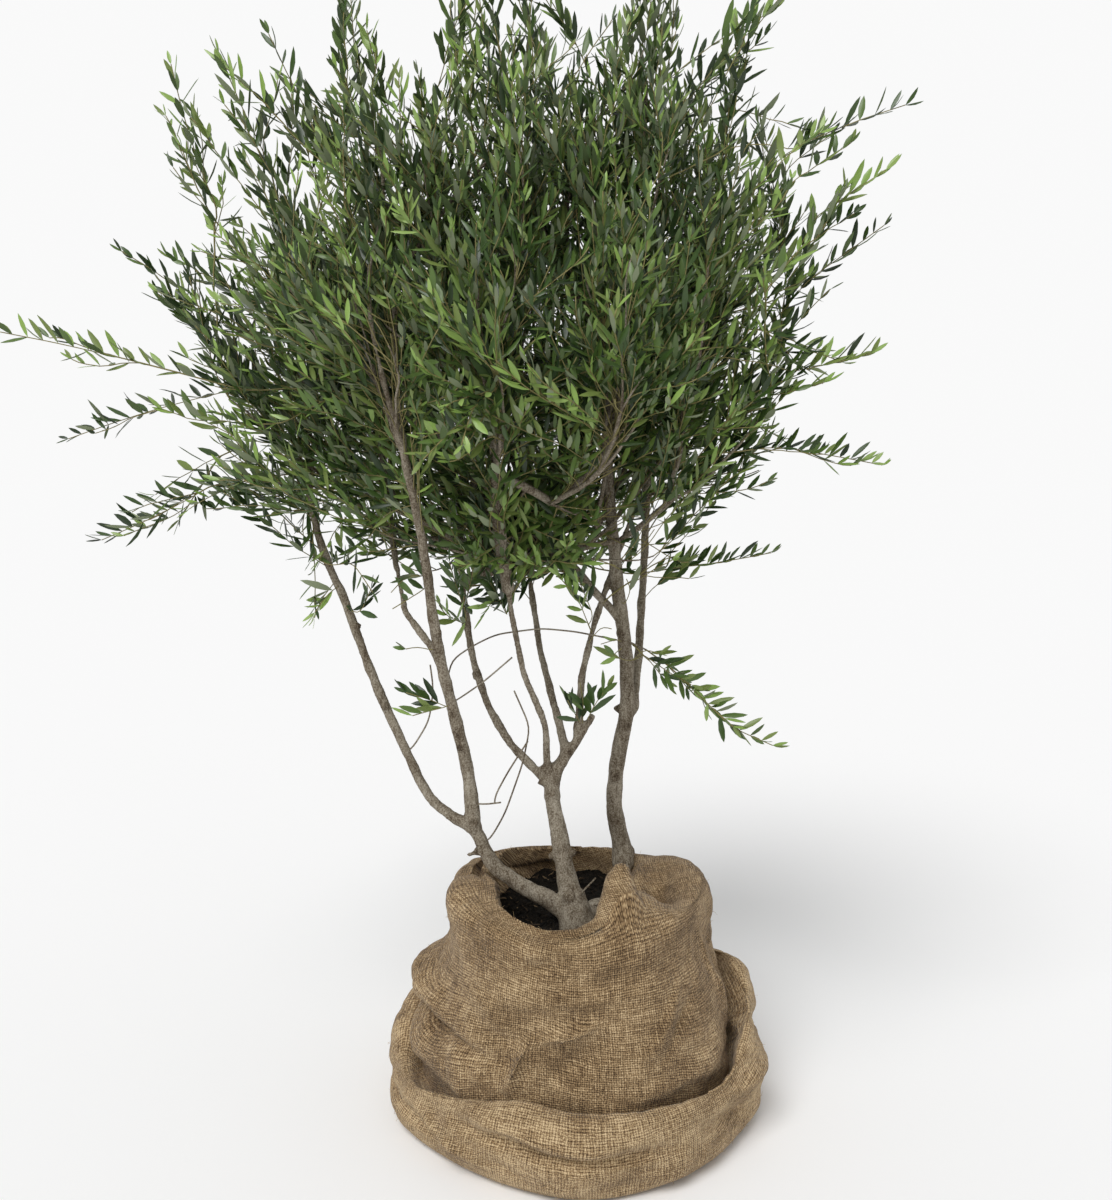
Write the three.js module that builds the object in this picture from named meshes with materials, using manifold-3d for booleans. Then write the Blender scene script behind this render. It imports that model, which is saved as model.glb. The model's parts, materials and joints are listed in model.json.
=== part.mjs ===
// A young olive tree with several stems, standing in a burlap sack that wraps its root ball.
// Millimetres, +Z up. The origin is the middle of the sack's flat underside, and -Y is the front.
// Every limb is one tapering solid. Every mass of leaves and every long shoot is one closed, uneven
// solid of its own. Boughs end where they enter a mass, and neighbours are cut to clear each other.

import * as THREE from "three";
import { mergeVertices } from "three/addons/utils/BufferGeometryUtils.js";
import Module from "manifold-3d";

const wasm = await Module();
wasm.setup();

// ---- driving dimensions -------------------------------------------------------------------------

const GAP = 0.4; // clearance left between two neighbours, one of which is cut by the other

// sack
const SACK_AROUND = 24; // facets round the sack
const CLOTH = 12; // wall of the sleeve, folds included
const RIM_HEIGHT = 420; // rim of the sleeve over its underside
const RIM_RADIUS = 238;
const BELLY_RADIUS = 281; // widest part of the sleeve
const BELLY_HEIGHT = 150;
const FOOT_RADIUS = 252; // flat underside of the sleeve
const RIDGE_RISE = 78; // one fold of the rim stands up as a peak, in front of the right stem
const RIDGE_LEAN = 40; // and leans in over the compost
const RIDGE_ANGLE = THREE.MathUtils.degToRad(-75); // round Z from +X
const RIDGE_WIDTH = 0.17; // radians
const ROLL_RADIUS = 349; // slack cloth rolled down round the foot
const ROLL_INNER = 258;
const ROLL_FOOT_RADIUS = 302; // where the roll lies on the ground
const ROLL_HEIGHT = 152; // at the front
const ROLL_RISE_RIGHT = 62; // the roll stands higher at the right, left and back
const ROLL_RISE_BACK = 26;
const ROLL_CORNER_TUCK = 13; // pulled in between front, sides and back

// root ball
const BALL_TOP = 365; // level of the compost
const BALL_TOP_RADIUS = 214;
const BALL_FOOT_RADIUS = 186;

// limbs
const LIMB_SIDES = 7;
const RING_PITCH = 96; // length of limb to one ring of facets

// foliage
const MASS_DETAIL = 2; // subdivision of a mass's icosahedron
const SMALL_MASS = 140; // a mass with a smaller half width takes one subdivision less
const MASS_SWELL = 0.13; // unevenness, as a share of the radius
const SHOOT_SIDES = 6;
const SHOOT_RINGS = 4;
const SHOOT_TIP = 9; // radius of a shoot's blunt ends
const SHOOT_SWELL = 0.16;

// ---- limbs: centre line from the foot to the tip, radius at each end, flare over the foot ---------

const LIMBS = [
  { name: "stump", radii: [29, 21], flare: 12, path: [[-2, -82, 355], [-10, -70, 395], [-16, -62, 426]] },
  {
    name: "stem_left_crook", radii: [18, 14.5], flare: 0,
    path: [[-14, -68, 398], [-68, -66, 420], [-112, -62, 440], [-148, -58, 466], [-172, -56, 495],
      [-187, -55, 545]],
  },
  {
    name: "stem_left", radii: [14, 7.5], flare: 0,
    path: [[-187, -55, 545.8], [-190, -59, 610], [-216, -78, 745], [-245, -100, 878], [-261, -130, 1048],
      [-295, -165, 1243]],
  },
  {
    name: "bough_left_outer", radii: [6.5, 5], flare: 2,
    path: [[-292, -163, 1225], [-309, -180, 1290], [-333, -212, 1420]],
  },
  {
    name: "bough_left_upright", radii: [6.5, 5], flare: 2,
    path: [[-294, -163, 1235], [-298, -149, 1300], [-301, -130, 1420]],
  },
  {
    name: "stem_far_left", radii: [10.5, 8.3], flare: 3,
    path: [[-186, -55, 535], [-222, -50, 561], [-257, -45, 573], [-277, -42, 608], [-318, -35, 698],
      [-372, -20, 815], [-428, 0, 970], [-475, 12, 1050]],
  },
  {
    name: "bough_left_inner", radii: [7.4, 5], flare: 2,
    path: [[-240, -97, 858], [-284, -70, 894], [-310, -45, 945], [-335, 10, 1037], [-429, 80, 1190]],
  },
  {
    name: "stem_centre", radii: [19, 16], flare: 6,
    path: [[-12, -65, 400], [-28, -45, 483], [-41, -30, 549], [-57, -16, 640]],
  },
  {
    name: "bough_centre_left", radii: [9.6, 7], flare: 3,
    path: [[-58, -16, 622], [-84, -9, 640], [-109, 0, 659], [-155, 30, 720], [-188, 60, 794],
      [-209, 80, 899], [-219, 92, 1010]],
  },
  {
    name: "bough_centre_front", radii: [8, 6], flare: 2,
    path: [[-57, -18, 630], [-52, -32, 690], [-64, -41, 742], [-94, -50, 807], [-114, -60, 903],
      [-131, -60, 1020]],
  },
  {
    name: "arm_centre_right", radii: [12, 9.5], flare: 3,
    path: [[-54, -16, 622], [-22, -6, 660], [-2, 4, 690], [20, 12, 722]],
  },
  {
    name: "bough_centre_back", radii: [8.4, 6.5], flare: 2,
    path: [[-20, -5, 660], [-34, 20, 702], [-52, 55, 775], [-73, 85, 851], [-90, 120, 966],
      [-100, 132, 1040]],
  },
  {
    name: "bough_centre_right", radii: [8, 6.4], flare: 2,
    path: [[0, 4, 690], [1, 15, 760], [14, 30, 850], [40, 60, 926], [66, 85, 1000]],
  },
  {
    name: "stem_right_crook", radii: [15, 19], flare: 0,
    path: [[-6, -72, 388], [34, -50, 390], [64, -8, 386], [84, 62, 384], [92, 118, 404], [91, 121, 430]],
  },
  {
    name: "stem_right", radii: [18.5, 10.5], flare: 2,
    path: [[91, 121, 430.8], [70, 111, 520], [76, 104, 620], [97, 86, 745], [84, 76, 880], [62, 55, 1049],
      [36, 35, 1200], [60, 60, 1420]],
  },
  {
    name: "bough_right", radii: [10.4, 7.5], flare: 2,
    path: [[102, 88, 715], [115, 125, 790], [125, 155, 929], [133, 178, 1060], [138, 190, 1220]],
  },
];

// ---- foliage masses: centre and half sizes across, deep and high -----------------------------------

const MASSES = [
  { name: "leaves_top_left", centre: [-335, -35, 1625], half: [158, 175, 200] },
  { name: "leaves_top_centre", centre: [-125, -35, 1695], half: [160, 175, 215] },
  { name: "leaves_top_right", centre: [95, 15, 1740], half: [160, 175, 205] },
  { name: "leaves_upper_right", centre: [245, 55, 1585], half: [150, 175, 205] },
  { name: "leaves_upper_left", centre: [-510, 30, 1480], half: [168, 170, 165] },
  { name: "leaves_lower_left", centre: [-490, 40, 1225], half: [185, 170, 150] },
  { name: "leaves_left_under", centre: [-335, 50, 1065], half: [135, 120, 95] },
  { name: "leaves_front_left", centre: [-385, -215, 1445], half: [130, 125, 115] },
  { name: "leaves_front_centre", centre: [-165, -235, 1390], half: [158, 150, 170] },
  { name: "leaves_front_right", centre: [65, -205, 1415], half: [148, 150, 185] },
  { name: "leaves_lower_centre", centre: [-135, 15, 1110], half: [175, 170, 160] },
  { name: "leaves_middle_right", centre: [215, 55, 1270], half: [165, 170, 165] },
  { name: "leaves_lower_right", centre: [95, 20, 1060], half: [110, 120, 100] },
  { name: "leaves_back_left", centre: [-380, 300, 1440], half: [210, 165, 225] },
  { name: "leaves_back_centre", centre: [-110, 345, 1545], half: [180, 155, 250] },
  { name: "leaves_back_right", centre: [150, 310, 1450], half: [185, 165, 235] },
  { name: "leaves_back_low", centre: [-110, 290, 1150], half: [220, 145, 135] },
];

// ---- long shoots: from inside the crown to the tip, and the half width across their leaves ---------

const SHOOTS = [
  { name: "shoot_left_high", girth: 52, path: [[-590, 20, 1540], [-655, 5, 1700], [-692, 0, 1855]] },
  { name: "shoot_left_second", girth: 55, path: [[-450, -45, 1560], [-535, -50, 1720], [-595, -50, 1855]] },
  { name: "shoot_left_third", girth: 52, path: [[-400, 0, 1680], [-470, 0, 1790], [-522, 0, 1900]] },
  { name: "shoot_left_top", girth: 60, path: [[-360, 0, 1760], [-382, 0, 1880], [-385, 0, 2010]] },
  { name: "shoot_left_middle", girth: 55, path: [[-600, 40, 1440], [-710, 50, 1500], [-800, 50, 1556]] },
  {
    name: "shoot_far_left", girth: 42,
    path: [[-600, -30, 1320], [-760, -48, 1362], [-880, -50, 1390], [-990, -50, 1412]],
  },
  { name: "shoot_left_sparse", girth: 36, path: [[-620, 80, 1325], [-790, 100, 1285], [-940, 100, 1236]] },
  { name: "shoot_left_low", girth: 58, path: [[-590, 50, 1200], [-720, 40, 1120], [-860, 40, 1055]] },
  { name: "sprig_left_under", girth: 40, path: [[-475, 10, 1110], [-470, -5, 1030], [-468, -25, 950]] },
  { name: "shoot_top_centre", girth: 58, path: [[-185, 0, 1830], [-180, 0, 1930], [-170, 0, 2030]] },
  { name: "shoot_top_leader", girth: 66, path: [[-95, 45, 1830], [-85, 50, 1960], [-68, 50, 2085]] },
  { name: "shoot_top_right", girth: 62, path: [[110, 50, 1860], [122, 50, 1970], [140, 50, 2080]] },
  { name: "shoot_right_first", girth: 58, path: [[190, 0, 1780], [260, 0, 1870], [330, 0, 1960]] },
  { name: "shoot_right_second", girth: 46, path: [[270, 0, 1665], [410, 0, 1745], [545, 0, 1792]] },
  { name: "shoot_right_third", girth: 46, path: [[280, 0, 1535], [400, 0, 1605], [515, 0, 1682]] },
  { name: "shoot_right_fourth", girth: 50, path: [[290, 50, 1440], [410, 50, 1515], [532, 50, 1602]] },
  { name: "shoot_right_middle", girth: 52, path: [[260, 0, 1335], [385, 0, 1352], [498, 0, 1378]] },
  { name: "shoot_right_level", girth: 38, path: [[290, 90, 1232], [420, 100, 1212], [555, 100, 1188]] },
  { name: "shoot_right_low", girth: 42, path: [[110, 85, 992], [230, 100, 1000], [355, 100, 1022]] },
  {
    name: "shoot_right_drooping", girth: 42,
    path: [[118, 75, 850], [190, 25, 800], [262, -15, 725], [342, -30, 690]],
  },
  { name: "shoot_back_left", girth: 60, path: [[-480, 380, 1500], [-570, 440, 1610], [-640, 470, 1720]] },
  { name: "shoot_back_top", girth: 60, path: [[-60, 380, 1700], [-30, 430, 1820], [10, 460, 1930]] },
  { name: "shoot_back_right", girth: 55, path: [[270, 380, 1480], [350, 430, 1560], [430, 470, 1640]] },
  { name: "shoot_front_low", girth: 50, path: [[-160, -260, 1290], [-190, -350, 1240], [-220, -430, 1200]] },
];

// ---- materials --------------------------------------------------------------------------------------

const barkMaterial = new THREE.MeshStandardMaterial({ color: 0x7d7463, roughness: 0.85, metalness: 0 });
const leafMaterial = new THREE.MeshStandardMaterial({ color: 0x4a6a3a, roughness: 0.55, metalness: 0 });
const shootMaterial = new THREE.MeshStandardMaterial({ color: 0x5f7d45, roughness: 0.55, metalness: 0 });
const burlapMaterial = new THREE.MeshStandardMaterial({ color: 0xb08d5f, roughness: 0.95, metalness: 0 });
const compostMaterial = new THREE.MeshStandardMaterial({ color: 0x2b211a, roughness: 1, metalness: 0 });

// ---- from three.js geometry to a solid and back ------------------------------------------------------

function joined(geometry) {
  geometry.deleteAttribute("normal");
  geometry.deleteAttribute("uv");
  return mergeVertices(geometry);
}

function solidOf(geometry) {
  const whole = joined(geometry);
  const vertProperties = new Float32Array(whole.attributes.position.array);
  const triVerts = new Uint32Array(whole.index.array);
  return new wasm.Manifold(new wasm.Mesh({ numProp: 3, vertProperties, triVerts }));
}

function geometryOf(solid) {
  const mesh = solid.getMesh();
  const geometry = new THREE.BufferGeometry();
  geometry.setAttribute("position", new THREE.BufferAttribute(new Float32Array(mesh.vertProperties), 3));
  geometry.setIndex(new THREE.BufferAttribute(new Uint32Array(mesh.triVerts), 1));
  geometry.computeVertexNormals();
  return geometry;
}

function largestPart(solid) {
  const pieces = solid.decompose();
  return pieces.reduce((best, piece) => (piece.volume() > best.volume() ? piece : best));
}

function boxesMeet(a, b) {
  const first = a.boundingBox();
  const second = b.boundingBox();
  return [0, 1, 2].every((k) => first.min[k] <= second.max[k] && second.min[k] <= first.max[k]);
}

function cutClear(solid, neighbours) {
  let left = solid;
  for (const neighbour of neighbours) {
    if (boxesMeet(left, neighbour)) {
      left = largestPart(left.subtract(neighbour));
    }
  }
  return left;
}

// ---- a closed tube of changing radius along a smooth path --------------------------------------------

function sweep(points, sides, rings, radiusAt) {
  const path = new THREE.CatmullRomCurve3(points.map((p) => new THREE.Vector3(...p)), false, "centripetal");
  const frames = path.computeFrenetFrames(rings, false);
  const tube = new THREE.CylinderGeometry(1, 1, 1, sides, rings);
  const place = tube.attributes.position;
  for (let i = 0; i < place.count; i += 1) {
    const along = place.getY(i) + 0.5;
    const ring = Math.round(along * rings);
    const radius = radiusAt(along, Math.atan2(place.getZ(i), place.getX(i)));
    const point = path.getPointAt(ring / rings);
    point.addScaledVector(frames.binormals[ring], place.getX(i) * radius);
    point.addScaledVector(frames.normals[ring], place.getZ(i) * radius);
    place.setXYZ(i, point.x, point.y, point.z);
  }
  return solidOf(tube);
}

function pathLength(points) {
  const corners = points.map((p) => new THREE.Vector3(...p));
  return corners.slice(1).reduce((sum, corner, i) => sum + corner.distanceTo(corners[i]), 0);
}

function limb({ path, radii, flare }, extra) {
  const length = pathLength(path);
  const rings = Math.max(2, Math.round(length / RING_PITCH));
  const flareLength = 2.5 * radii[0];
  return sweep(path, LIMB_SIDES, rings, (along) => {
    const taper = THREE.MathUtils.lerp(radii[0], radii[1], along);
    return taper + flare * Math.exp((-along * length) / flareLength) + extra;
  });
}

// ---- foliage ------------------------------------------------------------------------------------------

// A smooth value between -1 and 1 over directions, different for every seed.
function swellAt(x, y, z, seed) {
  const low = Math.sin(2.6 * x + 1.9 * seed) + Math.sin(2.9 * y + 2.7 * seed);
  const broad = low + Math.sin(2.4 * z + 3.1 * seed);
  const fine = Math.sin(5.3 * x + 4.1 * y + seed) + Math.sin(4.7 * z - 5.1 * y + 1.3 * seed);
  return broad / 4.2 + fine / 7;
}

function leafMass({ centre, half }, seed, extra) {
  const detail = half[0] < SMALL_MASS ? MASS_DETAIL - 1 : MASS_DETAIL;
  const ball = joined(new THREE.IcosahedronGeometry(1, detail));
  const place = ball.attributes.position;
  for (let i = 0; i < place.count; i += 1) {
    const out = new THREE.Vector3().fromBufferAttribute(place, i);
    const swell = 1 + MASS_SWELL * swellAt(out.x, out.y, out.z, seed);
    const point = new THREE.Vector3(...half).multiplyScalar(swell).multiply(out);
    point.addScaledVector(out, extra);
    place.setXYZ(i, centre[0] + point.x, centre[1] + point.y, centre[2] + point.z);
  }
  return solidOf(ball);
}

function leafShoot({ path, girth }, seed, extra) {
  return sweep(path, SHOOT_SIDES, SHOOT_RINGS, (along, angle) => {
    const spindle = SHOOT_TIP + (girth - SHOOT_TIP) * Math.sin(Math.PI * along) ** 0.7;
    const swell = 1 + SHOOT_SWELL * swellAt(Math.cos(angle), Math.sin(angle), 3 * along, seed);
    return spindle * swell + extra;
  });
}

// ---- sack and root ball ---------------------------------------------------------------------------------

// The lathe turns its profile round Y, so the result is stood up on Z and then worked on point by point.
function turned(profile, reshape) {
  const outline = profile.map(([radius, height]) => new THREE.Vector2(radius, height));
  const shape = joined(new THREE.LatheGeometry(outline, SACK_AROUND));
  shape.rotateX(Math.PI / 2);
  const place = shape.attributes.position;
  for (let i = 0; i < place.count; i += 1) {
    const radius = Math.hypot(place.getX(i), place.getY(i));
    const angle = Math.atan2(place.getY(i), place.getX(i));
    const [newRadius, newHeight] = reshape(radius, angle, place.getZ(i));
    place.setXYZ(i, newRadius * Math.cos(angle), newRadius * Math.sin(angle), newHeight);
  }
  return solidOf(shape);
}

function angleBetween(a, b) {
  return Math.atan2(Math.sin(a - b), Math.cos(a - b));
}

// Slack folds push the cloth in and out round the sleeve, most at the belly, and the rim goes up and down.
function clothFold(angle, height) {
  const slack = Math.sin(Math.PI * Math.min(1, height / RIM_HEIGHT));
  return slack * (7 * Math.sin(3 * angle + 0.8) + 4 * Math.sin(7 * angle + height / 60));
}

function reshapeSleeve(radius, angle, height) {
  const share = THREE.MathUtils.smoothstep(height, BELLY_HEIGHT, RIM_HEIGHT);
  const folded = radius > RIM_RADIUS / 2 && height > CLOTH ? radius + clothFold(angle, height) : radius;
  const ridge = Math.exp(-((angleBetween(angle, RIDGE_ANGLE) / RIDGE_WIDTH) ** 2));
  const wave = 9 * Math.sin(2 * angle + 0.6) + 5 * Math.sin(5 * angle);
  return [folded - share ** 2 * RIDGE_LEAN * ridge, height + share * (wave + RIDGE_RISE * ridge)];
}

const SLEEVE_OUTSIDE = [
  [0, 0], [FOOT_RADIUS, 0], [FOOT_RADIUS + 14, 45], [BELLY_RADIUS - 6, 100], [BELLY_RADIUS, BELLY_HEIGHT],
  [BELLY_RADIUS - 13, 240], [RIM_RADIUS + 12, 330], [RIM_RADIUS + 3, 395], [RIM_RADIUS - 2, RIM_HEIGHT],
];

function sleeve() {
  const inside = SLEEVE_OUTSIDE.slice(2, -1).reverse().map(([radius, height]) => [radius - CLOTH, height]);
  const floor = [[FOOT_RADIUS - CLOTH, CLOTH], [0, CLOTH]];
  const rim = [RIM_RADIUS - CLOTH, RIM_HEIGHT - 4];
  return turned([...SLEEVE_OUTSIDE, rim, ...inside, ...floor], reshapeSleeve);
}

function sleeveFilled(extra) {
  const outline = SLEEVE_OUTSIDE.map(([radius, height]) => [radius > 0 ? radius + extra : 0, height]);
  outline[0][1] = -1;
  outline[1][1] = -1;
  return turned([...outline, [0, RIM_HEIGHT]], reshapeSleeve);
}

function roll() {
  const section = [
    [ROLL_INNER, 0], [ROLL_FOOT_RADIUS, 0], [ROLL_RADIUS - 16, 26], [ROLL_RADIUS, 66],
    [ROLL_RADIUS - 12, 104], [ROLL_RADIUS - 38, 134], [BELLY_RADIUS, ROLL_HEIGHT],
    [ROLL_INNER, ROLL_HEIGHT - 12], [ROLL_INNER, 0],
  ];
  const ring = turned(section, (radius, angle, height) => {
    const side = ROLL_RISE_RIGHT * Math.max(0, Math.cos(angle)) ** 2;
    const rise = side + ROLL_RISE_BACK * (1 + Math.sin(angle));
    const corner = radius > ROLL_FOOT_RADIUS ? ROLL_CORNER_TUCK * Math.sin(2 * angle) ** 2 : 0;
    return [radius - corner, height * (1 + rise / ROLL_HEIGHT)];
  });
  return largestPart(ring.subtract(sleeveFilled(GAP)));
}

function rootBall() {
  const foot = CLOTH + GAP;
  const profile = [[0, foot], [BALL_FOOT_RADIUS, foot], [BALL_TOP_RADIUS, BALL_TOP], [0, BALL_TOP]];
  return turned(profile, (radius, angle, height) => [radius, height]);
}

// ---- the tree ------------------------------------------------------------------------------------

const tree = new THREE.Group();

function addNode(name, solid, material) {
  const mesh = new THREE.Mesh(geometryOf(solid), material);
  mesh.name = name;
  tree.add(mesh);
}

addNode("sack_sleeve", sleeve(), burlapMaterial);
addNode("sack_roll", roll(), burlapMaterial);
addNode("root_ball", rootBall(), compostMaterial);

// Masses are cut by the masses before them in the list, shoots by all masses and earlier shoots.
const leafNeighbours = [];
MASSES.forEach((mass, i) => {
  addNode(mass.name, cutClear(leafMass(mass, i + 1, 0), leafNeighbours), leafMaterial);
  leafNeighbours.push(leafMass(mass, i + 1, GAP));
});
SHOOTS.forEach((shoot, i) => {
  addNode(shoot.name, cutClear(leafShoot(shoot, i + 1, 0), leafNeighbours), shootMaterial);
  leafNeighbours.push(leafShoot(shoot, i + 1, GAP));
});

// Limbs start on the compost, are cut by the limbs they spring from, and end at the foliage they enter.
const limbNeighbours = [];
for (const part of LIMBS) {
  const whole = limb(part, 0).trimByPlane([0, 0, 1], BALL_TOP + GAP);
  addNode(part.name, cutClear(whole, [...limbNeighbours, ...leafNeighbours]), barkMaterial);
  limbNeighbours.push(limb(part, GAP));
}

export default tree;
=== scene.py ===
# A young olive tree with several stems, standing in a burlap sack that wraps its root ball.
# Metres, +Z up, -Y is the front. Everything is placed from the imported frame.

import json
import math

import bpy
import numpy as np
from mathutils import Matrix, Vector, noise
from mathutils.bvhtree import BVHTree

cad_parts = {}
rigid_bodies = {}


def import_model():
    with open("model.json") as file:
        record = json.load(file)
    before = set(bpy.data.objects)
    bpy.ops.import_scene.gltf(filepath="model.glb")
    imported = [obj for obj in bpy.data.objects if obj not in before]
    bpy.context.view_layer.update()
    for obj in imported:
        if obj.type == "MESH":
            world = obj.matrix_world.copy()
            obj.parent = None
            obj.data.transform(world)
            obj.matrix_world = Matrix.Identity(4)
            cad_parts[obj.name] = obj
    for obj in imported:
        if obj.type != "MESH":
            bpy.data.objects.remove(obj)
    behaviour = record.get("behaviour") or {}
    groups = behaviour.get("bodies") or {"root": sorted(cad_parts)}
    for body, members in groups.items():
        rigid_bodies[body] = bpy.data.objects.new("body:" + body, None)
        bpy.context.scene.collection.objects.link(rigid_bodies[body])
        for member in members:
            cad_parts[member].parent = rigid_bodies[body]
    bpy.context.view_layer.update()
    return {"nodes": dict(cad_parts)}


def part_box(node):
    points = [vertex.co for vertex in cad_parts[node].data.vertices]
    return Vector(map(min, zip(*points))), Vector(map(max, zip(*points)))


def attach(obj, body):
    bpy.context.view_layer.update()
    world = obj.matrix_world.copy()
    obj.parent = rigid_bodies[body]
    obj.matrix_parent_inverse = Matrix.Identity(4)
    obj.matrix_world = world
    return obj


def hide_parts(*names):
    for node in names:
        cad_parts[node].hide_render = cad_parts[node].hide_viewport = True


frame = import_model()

NODES = frame["nodes"]
UP = np.array([0.0, 0.0, 1.0])
rng = np.random.default_rng(20)

LEAF_MASSES = sorted(name for name in NODES if name.startswith("leaves_"))
LONG_SHOOTS = sorted(name for name in NODES if name.startswith(("shoot_", "sprig_")))


# ---- small helpers ----------------------------------------------------------------------------

def unit(v):
    v = np.asarray(v, float)
    return v / np.maximum(np.linalg.norm(v, axis=-1, keepdims=True), 1e-9)


def corners(name):
    low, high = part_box(name)
    return np.array(low), np.array(high)


def middle(name):
    low, high = corners(name)
    return (low + high) / 2


def mesh_piece(name, points, faces, materials, smooth=True, material_index=None):
    """A mesh object from arrays, riding on the root body, with its materials."""
    mesh = bpy.data.meshes.new(name)
    points = np.asarray(points, float)
    faces = faces.tolist() if isinstance(faces, np.ndarray) else faces
    mesh.from_pydata(points.tolist(), [], faces)
    for material in materials:
        mesh.materials.append(material)
    if material_index is not None:
        mesh.polygons.foreach_set("material_index", np.asarray(material_index, np.int32))
    mesh.polygons.foreach_set("use_smooth", np.full(len(mesh.polygons), smooth))
    mesh.update()
    piece = bpy.data.objects.new(name, mesh)
    bpy.context.scene.collection.objects.link(piece)
    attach(piece, "root")
    return piece


def plain_material(name, colour, roughness, specular=0.5):
    material = bpy.data.materials.new(name)
    material.use_nodes = True
    shader = material.node_tree.nodes["Principled BSDF"]
    shader.inputs["Base Color"].default_value = (*colour, 1)
    shader.inputs["Roughness"].default_value = roughness
    shader.inputs["Specular IOR Level"].default_value = specular
    return material


def smooth_step(low, high, x):
    t = np.clip((x - low) / (high - low), 0, 1)
    return t * t * (3 - 2 * t)


def hump(x, width):
    return np.exp(-((x / width) ** 2))


def noise_field(spots, scale, seed):
    """Smooth noise at many points, between about -1 and 1."""
    flat = (spots * scale + seed * 7.31).reshape(-1, 3).tolist()
    return np.array([noise.noise(spot) for spot in flat]).reshape(spots.shape[:-1]) * 1.6


def turn_between(a, b):
    return (a - b + 180) % 360 - 180


def apply_modifiers(piece):
    graph = bpy.context.evaluated_depsgraph_get()
    mesh = bpy.data.meshes.new_from_object(piece.evaluated_get(graph))
    old = piece.data
    piece.modifiers.clear()
    piece.data = mesh
    bpy.data.meshes.remove(old)


class Recipe:
    """Short ways to add nodes to a material."""

    def __init__(self, name, roughness, specular):
        self.material = plain_material(name, (0.5, 0.5, 0.5), roughness, specular)
        self.tree = self.material.node_tree
        self.shader = self.tree.nodes["Principled BSDF"]

    def node(self, kind, inputs=(), **settings):
        made = self.tree.nodes.new(kind)
        for key, value in settings.items():
            setattr(made, key, value)
        for socket, value in inputs:
            if isinstance(value, bpy.types.NodeSocket):
                self.tree.links.new(value, made.inputs[socket])
            else:
                made.inputs[socket].default_value = value
        return made

    def maths(self, operation, first, second=0.0):
        return self.node("ShaderNodeMath", ((0, first), (1, second)), operation=operation).outputs[0]

    def add_share(self, tone, pattern, share, middle=None):
        """Adds a share of a pattern to a tone, swinging about the pattern's middle where one is given."""
        swing = pattern if middle is None else self.maths("SUBTRACT", pattern, middle)
        return self.maths("ADD", tone, self.maths("MULTIPLY", swing, share))

    def noise(self, vector, scale, detail=2.0, stretch=(1, 1, 1), roughness=0.5):
        mapping = self.node("ShaderNodeMapping", (("Vector", vector), ("Scale", stretch)))
        place = ("Vector", mapping.outputs[0])
        settings = (place, ("Scale", scale), ("Detail", detail), ("Roughness", roughness))
        return self.node("ShaderNodeTexNoise", settings).outputs["Fac"]

    def ramp(self, value, stops):
        made = self.node("ShaderNodeValToRGB", (("Fac", value),))
        elements = made.color_ramp.elements
        while len(elements) < len(stops):
            elements.new(0.5)
        for element, (position, colour) in zip(elements, stops):
            element.position = position
            element.color = (*colour, 1)
        return made.outputs["Color"]

    def finish(self, colour, height, strength, distance):
        self.tree.links.new(colour, self.shader.inputs["Base Color"])
        settings = (("Height", height), ("Strength", strength), ("Distance", distance))
        bump = self.node("ShaderNodeBump", settings)
        self.tree.links.new(bump.outputs["Normal"], self.shader.inputs["Normal"])
        return self.material


# ---- the limbs of the frame, read back as centre lines ----------------------------------------

# Each limb of the frame and the limb it springs from.
LIMB_PARENTS = {
    "stump": None,
    "stem_left_crook": "stump",
    "stem_left": "stem_left_crook",
    "bough_left_outer": "stem_left",
    "bough_left_upright": "stem_left",
    "stem_far_left": "stem_left_crook",
    "bough_left_inner": "stem_left",
    "stem_centre": "stump",
    "bough_centre_left": "stem_centre",
    "bough_centre_front": "stem_centre",
    "arm_centre_right": "stem_centre",
    "bough_centre_back": "arm_centre_right",
    "bough_centre_right": "arm_centre_right",
    "stem_right_crook": "stump",
    "stem_right": "stem_right_crook",
    "bough_right": "stem_right",
}
SLICES = 24
END_SHARE = 0.05  # the ends of a limb are cut by its neighbours, so slices start this far in
LIMB_STEP = 0.010
FOOT_DEPTH = 2.4  # a limb's line starts this many parent radii below the place where it comes out
COLLAR = 0.25  # swelling of a limb where it comes out of its parent
COLLAR_REACH = 3.5


def slice_of(triangles, point, normal):
    """Centre and area of the cut that a plane makes through a closed mesh."""
    height = (triangles - point) @ normal
    leaving, entering = np.zeros((len(height), 3)), np.zeros((len(height), 3))
    for start in range(3):
        after = (start + 1) % 3
        a, b = height[:, start], height[:, after]
        share = a / np.where(a == b, 1, a - b)
        spot = triangles[:, start] + share[:, None] * (triangles[:, after] - triangles[:, start])
        leaving[(a > 0) & (b <= 0)] = spot[(a > 0) & (b <= 0)]
        entering[(a <= 0) & (b > 0)] = spot[(a <= 0) & (b > 0)]
    cut = (height > 0).any(1) & (height <= 0).any(1)
    first, second = leaving[cut] - point, entering[cut] - point
    cross = np.cross(first, second) @ normal
    area = cross.sum() / 2
    centre = ((first + second) * cross[:, None]).sum(0) / (6 * area)
    return point + centre, abs(area)


def mesh_arrays(name):
    mesh = NODES[name].data
    mesh.calc_loop_triangles()
    spots = np.array([v.co for v in mesh.vertices])
    return spots, np.array([t.vertices for t in mesh.loop_triangles])


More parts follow.
